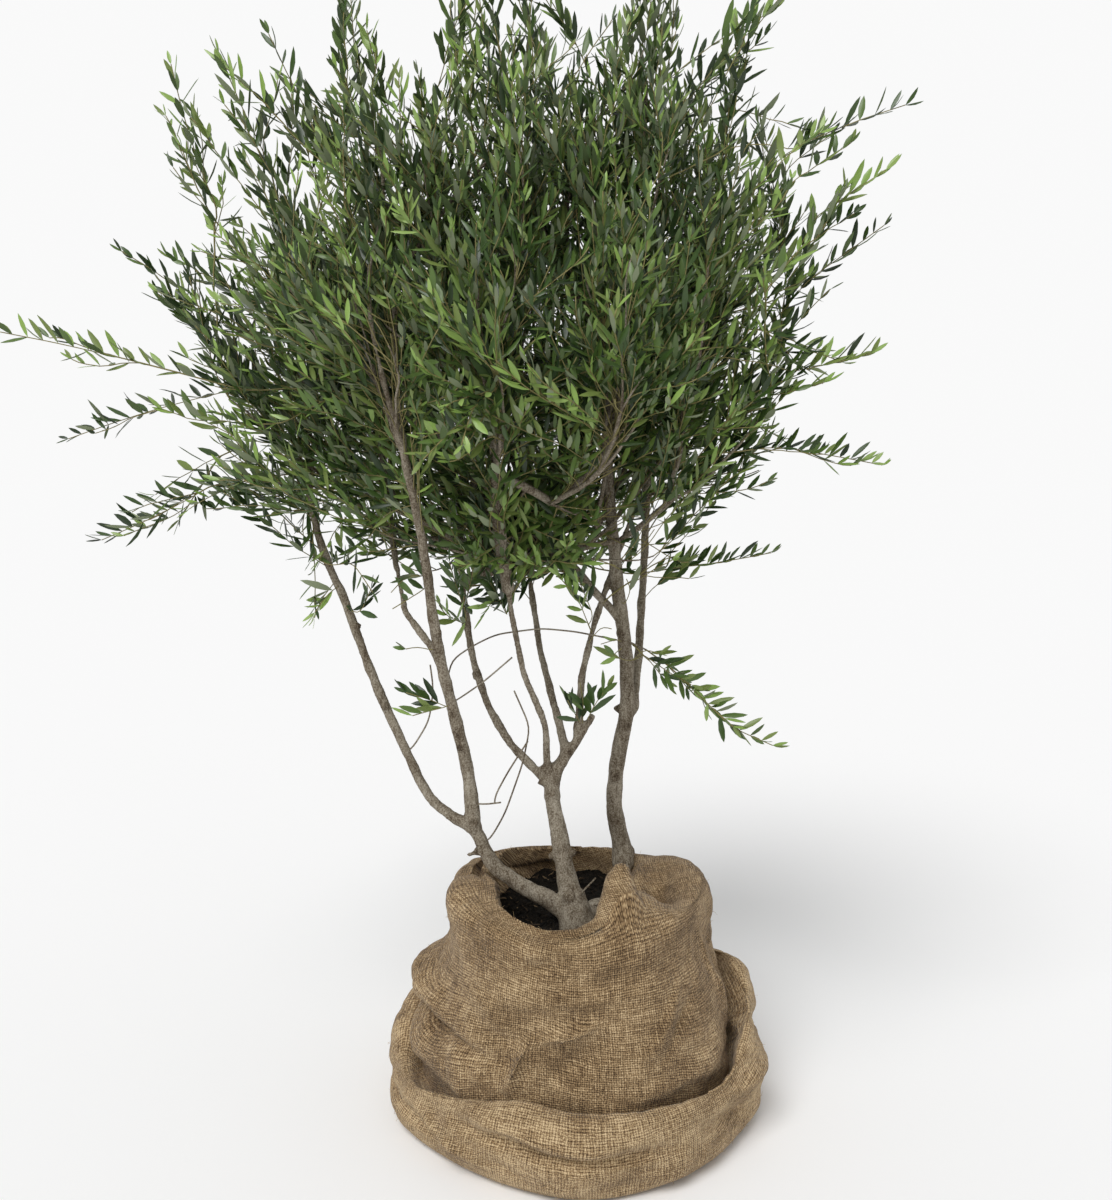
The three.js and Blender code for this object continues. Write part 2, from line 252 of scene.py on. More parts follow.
def centre_line(name):
    """Centre line and radii of a long node of the frame, worked out from slices across its length."""
    spots, faces = mesh_arrays(name)
    centre = spots.mean(0)
    axis = np.linalg.svd(spots - centre, full_matrices=False)[2][0]
    reach = (spots - centre) @ axis
    shares = np.linspace(END_SHARE, 1 - END_SHARE, SLICES)
    heights = reach.min() + shares * (reach.max() - reach.min())
    cuts = [slice_of(spots[faces], centre + axis * height, axis) for height in heights]
    line = np.array([cut[0] for cut in cuts])
    areas = np.array([cut[1] for cut in cuts])
    run = unit(np.gradient(line, axis=0))
    return line, np.sqrt(areas * np.abs(run @ axis) / math.pi)


def lengths_along(line):
    return np.concatenate([[0], np.cumsum(np.linalg.norm(np.diff(line, axis=0), axis=1))])


def resampled(line, step):
    """A polyline at even steps."""
    lengths = lengths_along(line)
    at = np.linspace(0, lengths[-1], max(3, int(lengths[-1] / step) + 1))
    return np.stack([np.interp(at, lengths, line[:, k]) for k in range(3)], 1)


def smoothed(values, rounds):
    for _ in range(rounds):
        inner = (values[:-2] + 2 * values[1:-1] + values[2:]) / 4
        values = np.concatenate([values[:1], inner, values[-1:]])
    return values


def stump_line():
    """The stump is too stubby to slice, so its line joins the middles of its foot and its top."""
    spots = mesh_arrays("stump")[0]
    low, high = spots[:, 2].min(), spots[:, 2].max()
    foot = spots[spots[:, 2] < low + 0.2 * (high - low)]
    top = spots[spots[:, 2] > high - 0.2 * (high - low)]
    ends = np.array([foot.mean(0), top.mean(0)])
    radii = [np.ptp(foot[:, 0]) / 2, np.ptp(top[:, 0]) / 2]
    line = resampled(ends, LIMB_STEP / 2)
    return line, np.linspace(radii[0] * 0.9, radii[1], len(line))


def hermite(start, leave, end, arrive, count):
    """Points on a smooth curve from start to end, the first left out."""
    t = (np.arange(1, count + 1) / count)[:, None]
    curve = (2 * t**3 - 3 * t**2 + 1) * start + (t**3 - 2 * t**2 + t) * leave
    return curve + (3 * t**2 - 2 * t**3) * end + (t**3 - t**2) * arrive


def joined_to(stem, line):
    """A limb's line led down into its parent's centre, so that the two flow into each other."""
    points, girths = stem
    run = lengths_along(points)
    away = np.linalg.norm(points[None] - line[:, None], axis=2)
    meeting = away[0].argmin()
    girth = girths[meeting]
    clear = min(int((away.min(1) > 1.3 * girth).argmax()), len(line) - 4)
    foot = int(np.searchsorted(run, run[meeting] - FOOT_DEPTH * girth))
    foot = min(max(1, foot), len(points) - 2)
    start, end = points[foot], line[clear]
    reach = np.linalg.norm(end - start)
    leave = unit(points[foot + 1] - points[foot - 1]) * reach
    arrive = unit(line[clear + 1] - line[clear]) * reach
    curve = hermite(start, leave, end, arrive, max(4, int(reach / LIMB_STEP)))
    return np.vstack([start, curve, line[clear + 1:]])


def read_limbs():
    """Every limb as a line from its foot, inside its parent, to its tip, with its radii."""
    limbs = {"stump": stump_line()}
    for name, parent in LIMB_PARENTS.items():
        if parent is None:
            continue
        line, radii = centre_line(name)
        stem = limbs[parent][0]
        gaps = [np.linalg.norm(stem - end, axis=1).min() for end in (line[0], line[-1])]
        if gaps[1] < gaps[0]:
            line, radii = line[::-1], radii[::-1]
        line = smoothed(line, 2)
        whole = slice(SLICES // 5, -SLICES // 5)
        taper = np.polyfit(lengths_along(line)[whole], radii[whole], 1)
        tip = line[-1] + unit(line[-1] - line[-3]) * 0.02
        line = resampled(joined_to(limbs[parent], np.vstack([line, tip])), LIMB_STEP)
        run = lengths_along(line)
        girth = np.polyval(taper, run)
        collar = 1 + COLLAR * np.exp(-((run / (COLLAR_REACH * girth[0])) ** 2))
        limbs[name] = line, girth * collar
    return limbs


limbs = read_limbs()


# ---- growing on from the limbs ----------------------------------------------------------------

GROWTH_STEP = 0.016
CROWN_FOCUS = np.array([-0.08, 0.02, 1.10])  # shoots point away from here
LIFT = 0.26  # and turn up by this much

# Each limb that runs on into the crown, and the mass whose middle it makes for.
LEADERS = {
    "stem_right": "leaves_top_right",
    "bough_right": "leaves_upper_right",
    "bough_left_outer": "leaves_top_left",
    "bough_left_upright": "leaves_top_centre",
    "stem_far_left": "leaves_upper_left",
    "bough_left_inner": "leaves_back_left",
    "bough_centre_left": "leaves_back_centre",
    "bough_centre_front": "leaves_front_centre",
    "bough_centre_back": "leaves_back_right",
    "bough_centre_right": "leaves_middle_right",
}
LEADER_TIP = 0.0026
CROWDING = 0.016  # keeps shoots from leaving the wood at the same place
TURN_COST = 0.22  # keeps them from leaving it at a sharp turn
BACKWARD_COST = 0.5  # and from coming back on themselves
CURVE_PULL = 0.8  # how strongly a shoot's curve holds to the way it leaves and arrives


class Skeleton:
    """Every point of wood, each with the point it grew from. Limbs of the frame come first."""

    def __init__(self):
        self.spots = np.zeros((0, 3))
        self.heading = np.zeros((0, 3))
        self.parent = np.zeros(0, int)
        self.girth = np.zeros(0)  # the least radius here
        self.crowd = np.zeros(0)  # how many shoots leave from about here
        self.paths = []  # rows of point numbers, the first of them on the parent path

    def add_path(self, spots, start, girths=0.0):
        """Adds a path that springs from point number start, or from nothing when start is -1."""
        first = len(self.spots)
        count = len(spots)
        before = self.spots[start] if start >= 0 else 2 * spots[0] - spots[1]
        heading = unit(np.diff(np.vstack([before, spots]), axis=0))
        self.spots = np.vstack([self.spots, spots])
        self.heading = np.vstack([self.heading, heading])
        self.parent = np.concatenate([self.parent, [start], np.arange(first, first + count - 1)])
        self.girth = np.concatenate([self.girth, np.zeros(count) + girths])
        self.crowd = np.concatenate([self.crowd, np.zeros(count)])
        if start >= 0:
            self.crowd[max(0, start - 2):start + 3] += 1
        row = np.arange(first, first + count)
        self.paths.append(np.concatenate([[start], row]) if start >= 0 else row)
        return row

    def nearest(self, spot):
        return int(np.linalg.norm(self.spots - spot, axis=1).argmin())


def outward(spot):
    """The way a shoot points at this place: out from the focus of the crown, and up."""
    away = spot - CROWN_FOCUS
    return unit(away / (np.linalg.norm(away) + 0.15) + LIFT * UP)


def wandering(path, length):
    """Small bends of a growing shoot, none at its ends."""
    t = np.linspace(0, 1, len(path))[:, None]
    slow = np.sin(t * rng.uniform(4, 9) + rng.uniform(0, 6)) * noise_vector()
    quick = 0.4 * np.sin(t * rng.uniform(12, 20)) * noise_vector()
    return path + 0.022 * length * (slow + quick) * np.sin(math.pi * t)


def grow(skeleton, target, heading, back, allowed=slice(None)):
    """Grows wood to target, arriving along heading, from the point that suits it best."""
    spots, headings = skeleton.spots[allowed], skeleton.heading[allowed]
    to_target = target - spots
    distance = np.linalg.norm(to_target, axis=1)
    turn = 1 - (headings * unit(to_target)).sum(1)
    cost = np.linalg.norm(spots - (target - heading * back), axis=1) + TURN_COST * distance * turn
    cost += BACKWARD_COST * np.maximum(0, -to_target @ heading)
    cost += CROWDING * skeleton.crowd[allowed]
    best = int(cost.argmin())
    start = best if isinstance(allowed, slice) else int(np.flatnonzero(allowed)[best])
    root = skeleton.spots[start]
    length = np.linalg.norm(target - root)
    leave = unit(0.55 * skeleton.heading[start] + unit(target - root) + 0.25 * noise_vector()) * length
    count = max(3, int(length / GROWTH_STEP))
    path = hermite(root, leave * CURVE_PULL, target, heading * length * CURVE_PULL, count)
    return skeleton.add_path(wandering(path, length), start)


def noise_vector():
    return unit(rng.normal(size=3))


def shape_of(name):
    spots, faces = mesh_arrays(name)
    return BVHTree.FromPolygons(spots.tolist(), faces.tolist())


def is_inside(tree, spot):
    nearest, normal, _, _ = tree.find_nearest(Vector(spot))
    return (nearest - Vector(spot)).dot(normal) > 0


def volume_of(name):
    spots, faces = mesh_arrays(name)
    a, b, c = spots[faces].transpose(1, 0, 2)
    return abs((np.cross(a, b) * c).sum() / 6)


def scattered(name, count, apart, swell=1.0):
    """Points spread through a foliage solid, no two closer than apart while that can be kept."""
    tree = shape_of(name)
    low, high = corners(name)
    centre = (low + high) / 2
    kept = []
    tries = 0
    while len(kept) < count and tries < 60 * count:
        tries += 1
        spot = rng.uniform(low, high)
        room = apart * (1 - tries / (60 * count))
        if is_inside(tree, spot) and all(np.linalg.norm(spot - other) > room for other in kept):
            kept.append(spot)
    return [centre + (spot - centre) * swell for spot in kept]


SUB_BOUGHS_PER_LITRE = 0.46
SUB_BOUGHS_APART = 0.10
SHOOTS_PER_LITRE = 6.2
SHOOTS_APART = 0.040
SHOOTS_SWELL = 1.08  # the shoots reach this far past the foliage solid's own size
LOWEST_BOUGH = (0.88, 1.16)  # each bough leaves its stem above a height of its own in this range
OPEN_BELOW = (0.96, 1.26)  # shoots thin out from the upper of these heights down to the lower
OPEN_SHARE = 0.40  # share of the shoots that grow at the lower one
SHOOT_STRAY = 0.60  # how far the shoots' directions vary

# Routes of single thin shoots, in metres. These low on the stems are bare.
BARE_GIRTH = 0.0015
BARE_TWIGS = (
    ((-0.169, -0.075, 0.591), (-0.138, -0.080, 0.597)),
    ((-0.153, -0.078, 0.600), (-0.125, -0.090, 0.655), (-0.090, -0.090, 0.710)),
    ((-0.161, -0.050, 0.516), (-0.132, -0.050, 0.568), (-0.100, -0.050, 0.660), (-0.087, -0.050, 0.726),
     (-0.115, -0.050, 0.791)),
    ((-0.233, -0.085, 0.800), (-0.224, -0.060, 0.848), (-0.188, -0.040, 0.870), (-0.147, -0.030, 0.889),
     (-0.068, -0.020, 0.898), (-0.006, 0.000, 0.889), (0.071, 0.050, 0.866)),
    ((-0.220, -0.080, 0.776), (-0.168, -0.060, 0.809), (-0.118, -0.050, 0.851)),
    ((-0.302, -0.040, 0.677), (-0.267, -0.040, 0.734), (-0.259, -0.035, 0.792), (-0.265, -0.030, 0.834)),
    ((-0.030, -0.110, 0.374), (-0.010, -0.090, 0.420), (0.030, -0.070, 0.455)),
    ((-0.020, -0.040, 0.372), (0.020, -0.060, 0.400), (0.055, -0.065, 0.409)),
)
# These carry a few leaves, low on the stems and along the underside of the crown.
LOW_SPRIGS = (
    ((-0.222, -0.085, 0.764), (-0.250, -0.092, 0.781), (-0.300, -0.095, 0.797)),
    ((-0.222, -0.090, 0.772), (-0.252, -0.110, 0.770), (-0.286, -0.120, 0.762)),
    ((0.006, 0.008, 0.705), (0.010, 0.000, 0.753), (0.002, -0.004, 0.797)),
    ((0.012, 0.010, 0.715), (0.028, 0.004, 0.753), (0.052, 0.000, 0.786)),
    ((0.010, 0.006, 0.712), (-0.008, -0.006, 0.740), (-0.020, -0.010, 0.765)),
    ((-0.440, 0.000, 0.975), (-0.464, -0.004, 0.946), (-0.474, -0.006, 0.915)),
    ((0.080, 0.070, 0.860), (0.070, 0.030, 0.870), (0.040, 0.000, 0.866)),
    ((-0.259, -0.100, 1.000), (-0.289, -0.150, 1.005), (-0.310, -0.180, 0.981)),
    ((-0.257, -0.100, 0.983), (-0.283, -0.160, 0.968), (-0.308, -0.180, 0.954)),
    ((-0.253, -0.100, 0.869), (-0.273, -0.120, 0.883), (-0.294, -0.130, 0.879)),
    ((-0.202, -0.020, 0.927), (-0.213, -0.080, 0.981), (-0.222, -0.100, 1.023)),
    ((-0.199, -0.020, 0.903), (-0.231, -0.080, 0.929), (-0.240, -0.100, 0.949)),
    ((-0.202, -0.020, 0.939), (-0.185, -0.080, 0.998), (-0.177, -0.100, 1.040)),
    ((-0.129, 0.000, 0.936), (-0.153, -0.040, 0.953), (-0.164, -0.060, 0.932)),
    ((-0.126, 0.000, 0.912), (-0.144, -0.040, 0.959), (-0.155, -0.060, 0.984)),
    ((0.024, 0.030, 0.883), (-0.001, 0.000, 0.948), (-0.037, -0.030, 0.993)),
    ((0.030, 0.030, 0.908), (-0.001, 0.000, 0.984), (-0.019, -0.030, 1.034)),
    ((0.015, 0.030, 0.859), (0.041, 0.000, 0.900), (0.058, -0.020, 0.897)),
    ((0.085, 0.040, 0.931), (0.094, 0.000, 0.966), (0.084, -0.020, 0.986)),
    ((0.098, 0.040, 0.826), (0.059, 0.000, 0.845), (0.075, -0.030, 0.863)),
    ((0.098, 0.040, 0.826), (0.119, 0.000, 0.858), (0.144, -0.020, 0.852)),
    ((0.084, 0.040, 1.016), (0.104, -0.020, 1.033), (0.130, -0.050, 1.076)),
    ((-0.425, -0.020, 0.974), (-0.444, -0.030, 0.963), (-0.466, -0.040, 0.929)),
    ((-0.442, -0.020, 1.010), (-0.389, -0.080, 1.021), (-0.353, -0.100, 0.972)),
    ((-0.420, -0.020, 0.939), (-0.389, -0.030, 0.922), (-0.364, -0.050, 0.972)),
)
# These close a gap high in the crown.
GAP_SHOOTS = (
    ((0.011, -0.120, 1.422), (0.001, -0.120, 1.502), (-0.008, -0.110, 1.600)),
    ((0.016, 0.050, 1.444), (0.005, 0.050, 1.530), (-0.009, 0.050, 1.667)),
    ((0.030, 0.120, 1.440), (0.016, 0.130, 1.540), (0.012, 0.140, 1.640)),
)

skeleton = Skeleton()
for limb_name, (limb_points, limb_radii) in limbs.items():
    limb_parent = LIMB_PARENTS[limb_name]
    limb_start = -1 if limb_parent is None else skeleton.nearest(limb_points[0])
    limb_row = skeleton.add_path(limb_points, limb_start, limb_radii)
    limbs[limb_name] = limb_points, limb_radii, limb_row


def grow_leaders():
    """The limbs that run on: each bends from its tip to the middle of a mass, and on to its top."""
    leaders = []
    for name, mass in LEADERS.items():
        line, girths, row = limbs[name]
        low, high = corners(mass)
        target = (low + high) / 2 + np.array([0, 0, 0.25 * (high - low)[2]])
        reach = np.linalg.norm(target - line[-1])
        arrive = unit(outward(target) + UP) * reach
        leave = unit(line[-1] - line[-6]) * reach
        path = hermite(line[-1], leave, target, arrive, int(reach / GROWTH_STEP))
        taper = np.linspace(girths[-1], LEADER_TIP, len(path))
        leaders.append(skeleton.add_path(wandering(path, reach * 0.7), row[-1], taper))
    return leaders


def grow_crown():
    """Boughs to the middle of every mass, then sub-boughs, then leafy shoots. Returns the leafy paths."""
    leafy = []
    masses = sorted(LEAF_MASSES, key=lambda name: middle(name)[2])
    for name in masses:
        target = middle(name)
        height = skeleton.spots[:, 2]
        usable = (height > rng.uniform(*LOWEST_BOUGH)) & (height < target[2])
        usable = usable if usable.any() else height > LOWEST_BOUGH[0]
        grow(skeleton, target, outward(target), 0.30, usable)
    for name in masses:
        count = max(3, round(volume_of(name) * 1000 * SUB_BOUGHS_PER_LITRE))
        for target in sorted(scattered(name, count, SUB_BOUGHS_APART), key=lambda spot: spot[2]):
            usable = skeleton.spots[:, 2] > rng.uniform(*LOWEST_BOUGH)
            grow(skeleton, target, unit(outward(target) + 0.25 * noise_vector()), 0.22, usable)
    woody = len(skeleton.spots)
    for name in masses:
        count = round(volume_of(name) * 1000 * SHOOTS_PER_LITRE)
        for target in scattered(name, count, SHOOTS_APART, SHOOTS_SWELL):
            heading = unit(outward(target) + SHOOT_STRAY * noise_vector())
            if rng.random() > np.interp(target[2], OPEN_BELOW, (OPEN_SHARE, 1.0)):
                continue
            usable = skeleton.spots[:, 2] > rng.uniform(*LOWEST_BOUGH)
            usable[woody:] = False
            leafy.append((grow(skeleton, target, heading, rng.uniform(0.12, 0.26), usable), name))
    return leafy


def grow_by_hand(routes, girth=0.0):
    """Thin shoots along routes of a few points, each from the nearest wood."""
    rows = []
    for route in routes:
        route = np.array(route)
        start = skeleton.nearest(route[0])
        line = smoothed(resampled(np.vstack([skeleton.spots[start], route]), 0.010), 3)
        rows.append(skeleton.add_path(line[1:], start, girth))
    return rows


SHOOT_CORE = 0.026  # a long shoot thicker than this carries side shoots
SIDE_SHOOTS_PER_METRE = 340  # for each metre that its half width is over that


def grow_long_shoots():
    """The shoots that stand out of the crown: one axis down the middle of each and some side shoots."""
    leafy = []
    for name in LONG_SHOOTS:
        line, radii = centre_line(name)
        inner, outer = line[0], line[-1]
        if name == "sprig_left_under":  # it hangs, so it starts at its upper end
            backward = inner[2] < outer[2]
        else:
            backward = np.linalg.norm(outer - CROWN_FOCUS) < np.linalg.norm(inner - CROWN_FOCUS)
        if backward:
            line = line[::-1]
        tip = line[-1] + unit(line[-1] - line[-4]) * 0.02
        line = resampled(np.vstack([smoothed(line, 3), tip]), GROWTH_STEP)
        heading = unit(line[2] - line[0])
        foot = grow(skeleton, line[0], heading, 0.12)
        axis = skeleton.add_path(line[1:], foot[-1])
        leafy.append((np.concatenate([foot[-1:], axis]), name))
        count = int((radii.max() - SHOOT_CORE) * SIDE_SHOOTS_PER_METRE)
        for target in scattered(name, count, SHOOTS_APART):
            along = unit(line[-1] - line[0])
            leafy.append((grow(skeleton, target, unit(along + 0.5 * noise_vector()), 0.13), name))
    return leafy


leader_rows = grow_leaders()
leafy_paths = grow_crown() + grow_long_shoots()
leafy_paths += [(row, "sprig_by_hand") for row in grow_by_hand(LOW_SPRIGS + GAP_SHOOTS)]
grow_by_hand(BARE_TWIGS, BARE_GIRTH)


# ---- wood of the crown: thickness by the number of tips that each point carries ---------------

TIP_RADIUS = 0.0010
THICKENING = 0.42  # radius grows with the number of tips carried to this power


def wood_radii():
    count = len(skeleton.spots)
    tips = np.zeros(count)
    has_child = np.zeros(count, bool)
    has_child[skeleton.parent[skeleton.parent >= 0]] = True
    tips[~has_child] = 1
    for point in range(count - 1, -1, -1):
        if skeleton.parent[point] >= 0:
            tips[skeleton.parent[point]] += tips[point]
    return np.maximum(TIP_RADIUS * tips**THICKENING, skeleton.girth)


def tubes(rows, radii, sides):
    """Points and faces of a tube with closed ends along each row of points."""
    points, faces = [], []
    total = 0
    turn = np.arange(sides) * 2 * math.pi / sides
    for line, radius in zip(rows, radii):
        run = unit(np.gradient(line, axis=0))
        side = unit(np.cross(run, [0.31, 0.87, 0.38]))
        other = np.cross(run, side)
        ring = side[:, None] * np.cos(turn)[None, :, None] + other[:, None] * np.sin(turn)[None, :, None]
        points.append((line[:, None] + ring * radius[:, None, None]).reshape(-1, 3))
        n = len(line)
        first = total + (np.arange(n - 1)[:, None] * sides + np.arange(sides)[None]).ravel()
        second = total + (np.arange(n - 1)[:, None] * sides + (np.arange(sides)[None] + 1) % sides).ravel()
        quads = np.stack([first, second, second + sides, first + sides], 1)
        faces += quads.tolist()
        faces.append((total + np.arange(sides)[::-1]).tolist())
        faces.append((total + (n - 1) * sides + np.arange(sides)).tolist())
        total += n * sides
    return np.concatenate(points), faces


# ---- leaves -----------------------------------------------------------------------------------

LEAF_LENGTH = 0.049
LEAF_WIDTH = 0.0097
PAIR_PITCH = 0.0195
LEAFY_LENGTH = 0.30  # how far back from its tip a shoot keeps its leaves
LIGHT_SIDE = np.array([-0.35, -0.80, 0.50])  # leaves turn their upper faces this way
FLUSH_SHARE = 0.16  # share of the shoots whose last pairs are bright new leaves
FLUSH_PAIRS = 3
YOUNG_PAIRS = 3.2  # pairs from the tip over which leaves reach their full size
YOUNG_LENGTH = 0.42  # how much shorter and narrower the leaf at the tip is
YOUNG_WIDTH = 0.35
MISSING_SHARE = 0.07  # share of the leaves that have dropped
LEAF_ANGLE = 44  # degrees between a leaf and its shoot, and how far that varies
LEAF_ANGLE_STRAY = 10
LOOK_AHEAD = 0.01  # the run of a shoot is taken over this much on each side
LEAVES_PER_PIECE = 9000
GREEN_UNDER_SHARE = 0.45  # share of the leaves with a green underside, the others silvery
UNDERSIDE_DROP = 0.0003  # gap between a leaf's two faces

# Stations along a leaf, as shares of its length, and the half width there, as a share of the widest.
LEAF_STATIONS = ((0.22, 0.72), (0.52, 1.0), (0.82, 0.62))
MIDRIB_RISE = 0.10  # margins turn down, so the midrib stands over them by this share of the width


def leaf_template():
    """Top face of a leaf of unit length and width: points, triangles; and its underside's."""
    top = [(0, 0, 0)]
    under = [(0, 0, 0)]
    for along, half in LEAF_STATIONS:
        top += [(along, -half / 2, 0), (along, 0, MIDRIB_RISE), (along, half / 2, 0)]
        under += [(along, -half / 2, 0), (along, half / 2, 0)]
    top.append((1, 0, 0))
    under.append((1, 0, 0))
    top_faces = [(0, 1, 2), (0, 2, 3)]
    for k in (1, 4):
        top_faces += [(k, k + 3, k + 4), (k, k + 4, k + 1), (k + 1, k + 4, k + 5), (k + 1, k + 5, k + 2)]
    top_faces += [(7, 10, 8), (8, 10, 9)]
    under_faces = [(0, 2, 1)]
    for k in (1, 3):
        under_faces += [(k, k + 1, k + 3), (k, k + 3, k + 2)]
    under_faces.append((5, 6, 7))
    return np.array(top, float), np.array(top_faces), np.array(under, float), np.array(under_faces)


def leaf_batch(template, faces, bases, along, across, normal, length, width, bend, drop):
    """Places one copy of a template for every leaf. bend curves the blade along its length."""
    x = template[:, 0][None, :, None]
    y = template[:, 1][None, :, None]
    z = template[:, 2][None, :, None]
    lengths, widths, bends = length[:, None, None], width[:, None, None], bend[:, None, None]
    lift = bends * lengths * x * x + z * widths - drop
    points = bases[:, None] + along[:, None] * x * lengths * (1 - 0.18 * np.abs(bends) * x)
    points = points + across[:, None] * y * widths + normal[:, None] * lift
    offsets = np.arange(len(bases))[:, None, None] * len(template)
    return points.reshape(-1, 3), (faces[None] + offsets).reshape(-1, 3)


# Stretches of limb that show from the front (-Y) through the crown: limb, and the height they show up to.
# Leaves that would stand in front of them, within OPEN_WIDTH to either side, are left out.
OPEN_LIMBS = {
    "stem_left": 1.25, "bough_left_outer": 1.40, "bough_left_upright": 1.42, "bough_left_inner": 1.05,
    "stem_right": 1.30, "bough_right": 1.12, "bough_centre_right": 1.0,
}
OPEN_WIDTH = 0.026
OPEN_FROM = 0.8  # height above which leaves are left out


def in_front_of_limbs(spots):
    """Which of these points stand on the -Y side of a limb that stays in view from there."""
    hidden = np.zeros(len(spots), bool)
    for name, top in OPEN_LIMBS.items():
        tip = limbs[name][2][-1]
        leader = [skeleton.spots[row] for row in leader_rows if skeleton.parent[row[0]] == tip]
        line = np.vstack([limbs[name][0]] + leader)
        line = line[(line[:, 2] < top) & (line[:, 2] > OPEN_FROM)]
        for point in line:
            aside = np.hypot(spots[:, 0] - point[0], spots[:, 2] - point[2])
            hidden |= (aside < OPEN_WIDTH) & (spots[:, 1] < point[1])
    return hidden


def point_along(line, lengths, place):
    place = min(max(place, 0), lengths[-1])
    return np.array([np.interp(place, lengths, line[:, axis]) for axis in range(3)])


LEAF_FACTS = ("base", "along", "normal", "length", "width", "bend", "tint", "youth", "flush")


def place_leaves():
    """Opposite pairs along every leafy shoot, each pair turned a quarter from the last."""
    rows = {key: [] for key in LEAF_FACTS}
    for row, name in leafy_paths:
        line = skeleton.spots[row]
        lengths = lengths_along(line)
        long_shoot = name in LONG_SHOOTS
        leafy_length = lengths[-1] * 0.97 if long_shoot else min(lengths[-1] * 0.92, LEAFY_LENGTH)
        open_shoot = long_shoot or name == "sprig_by_hand"
        spread = 1.16 if long_shoot else 0.80 if open_shoot else 1.0
        pitch = PAIR_PITCH * rng.uniform(0.85, 1.2) * spread
        at = np.arange(lengths[-1], lengths[-1] - leafy_length, -pitch)
        size = rng.uniform(0.86, 1.12) * (1.10 if open_shoot else 1)
        rise = 0.35 if open_shoot else 0.0
        breadth = LEAF_WIDTH * (1.06 if open_shoot else 1)
        turn = rng.uniform(0, math.pi)
        spray_tint = rng.random()
        flush = rng.random() < FLUSH_SHARE
        for k, place in enumerate(at):
            base = point_along(line, lengths, place)
            ahead = point_along(line, lengths, place + LOOK_AHEAD)
            run = unit(ahead - point_along(line, lengths, place - LOOK_AHEAD))
            side = unit(np.cross(run, UP + 0.01))
            other = np.cross(side, run)
            young = max(0.0, 1 - k / YOUNG_PAIRS)
            for sign in (1, -1):
                if rng.random() < MISSING_SHARE:
                    continue
                angle = turn + k * math.pi / 2 + (0 if sign > 0 else math.pi) + rng.normal(0, 0.25)
                out = side * math.cos(angle) + other * math.sin(angle)
                open_angle = math.radians(rng.normal(LEAF_ANGLE, LEAF_ANGLE_STRAY) * (1 - 0.5 * young))
                lift = (rise + rng.uniform(0.05, 0.55)) * (1 - abs(run[2])) * UP
                along = unit(run * math.cos(open_angle) + out * math.sin(open_angle) + lift)
                facing = 0.5 * UP + 0.7 * unit(base - CROWN_FOCUS) + 0.7 * LIGHT_SIDE
                facing = unit(facing + 0.5 * noise_vector())
                normal = facing - (facing @ along) * along
                rows["base"].append(base)
                rows["along"].append(along)
                rows["normal"].append(unit(normal))
                length = LEAF_LENGTH * size * rng.uniform(0.70, 1.16) * (1 - YOUNG_LENGTH * young)
                rows["length"].append(length)
                rows["width"].append(breadth * size * rng.uniform(0.82, 1.15) * (1 - YOUNG_WIDTH * young))
                rows["bend"].append(rng.normal(0.10, 0.13))
                rows["tint"].append(spray_tint)
                rows["youth"].append(young)
                rows["flush"].append(k < FLUSH_PAIRS and flush)
    rows = {key: np.array(value) for key, value in rows.items()}
    kept = ~in_front_of_limbs(rows["base"] + rows["along"] * LEAF_LENGTH / 2)
    return {key: value[kept] for key, value in rows.items()}


leaves = place_leaves()

TOP_TINTS = {
    "leaf_deep": (0.019, 0.040, 0.009),
    "leaf_dark": (0.044, 0.088, 0.017),
    "leaf_mid": (0.100, 0.170, 0.036),
    "leaf_olive": (0.185, 0.250, 0.064),
    "leaf_fresh": (0.255, 0.395, 0.088),
    "leaf_young": (0.300, 0.430, 0.120),
}
UNDER_TINTS = {
    "leaf_under_silver": (0.240, 0.280, 0.172),
    "leaf_under_green": (0.105, 0.150, 0.062),
}
top_materials = [plain_material(name, colour, 0.34, 0.48) for name, colour in TOP_TINTS.items()]
under_materials = [plain_material(name, colour, 0.75, 0.15) for name, colour in UNDER_TINTS.items()]


def tint_numbers():
    """Each spray has its own tint, its leaves stray a step from it, and new leaves are the brightest."""
    stray = rng.normal(0, 0.7, len(leaves["tint"]))
    score = leaves["tint"] * 4.0 - 0.2 + stray + leaves["youth"] * 0.7
    score = np.where(leaves["flush"], rng.normal(4.5, 0.5, len(score)), score)
    return np.clip(np.round(score), 0, len(TOP_TINTS) - 1).astype(int)


def build_leaves():
    """Upper faces and undersides, each kind apart, in pieces that all replace the foliage solids."""
    across = np.cross(leaves["normal"], leaves["along"])
    top, top_faces, under, under_faces = leaf_template()
    tint = tint_numbers()
    under_tint = (rng.random(len(tint)) < GREEN_UNDER_SHARE).astype(int)
    sides = (
        ("leaf_tops", top, top_faces, 0.0, tint, top_materials),
        ("leaf_undersides", under, under_faces, UNDERSIDE_DROP, under_tint, under_materials),
    )
    for part in range(0, len(tint), LEAVES_PER_PIECE):
        these = slice(part, part + LEAVES_PER_PIECE)
        common = [leaves["base"][these], leaves["along"][these], across[these]]
        common += [leaves[key][these] for key in ("normal", "length", "width", "bend")]
        for side, template, template_faces, drop, tints, materials in sides:
            points, faces = leaf_batch(template, template_faces, *common, drop)
            name = f"{side}_{part // LEAVES_PER_PIECE + 1}"
            index = np.repeat(tints[these], len(template_faces))
            piece = mesh_piece(name, points, faces, materials, True, index)
            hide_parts(*LEAF_MASSES, *LONG_SHOOTS)


build_leaves()


# ---- wood -------------------------------------------------------------------------------------

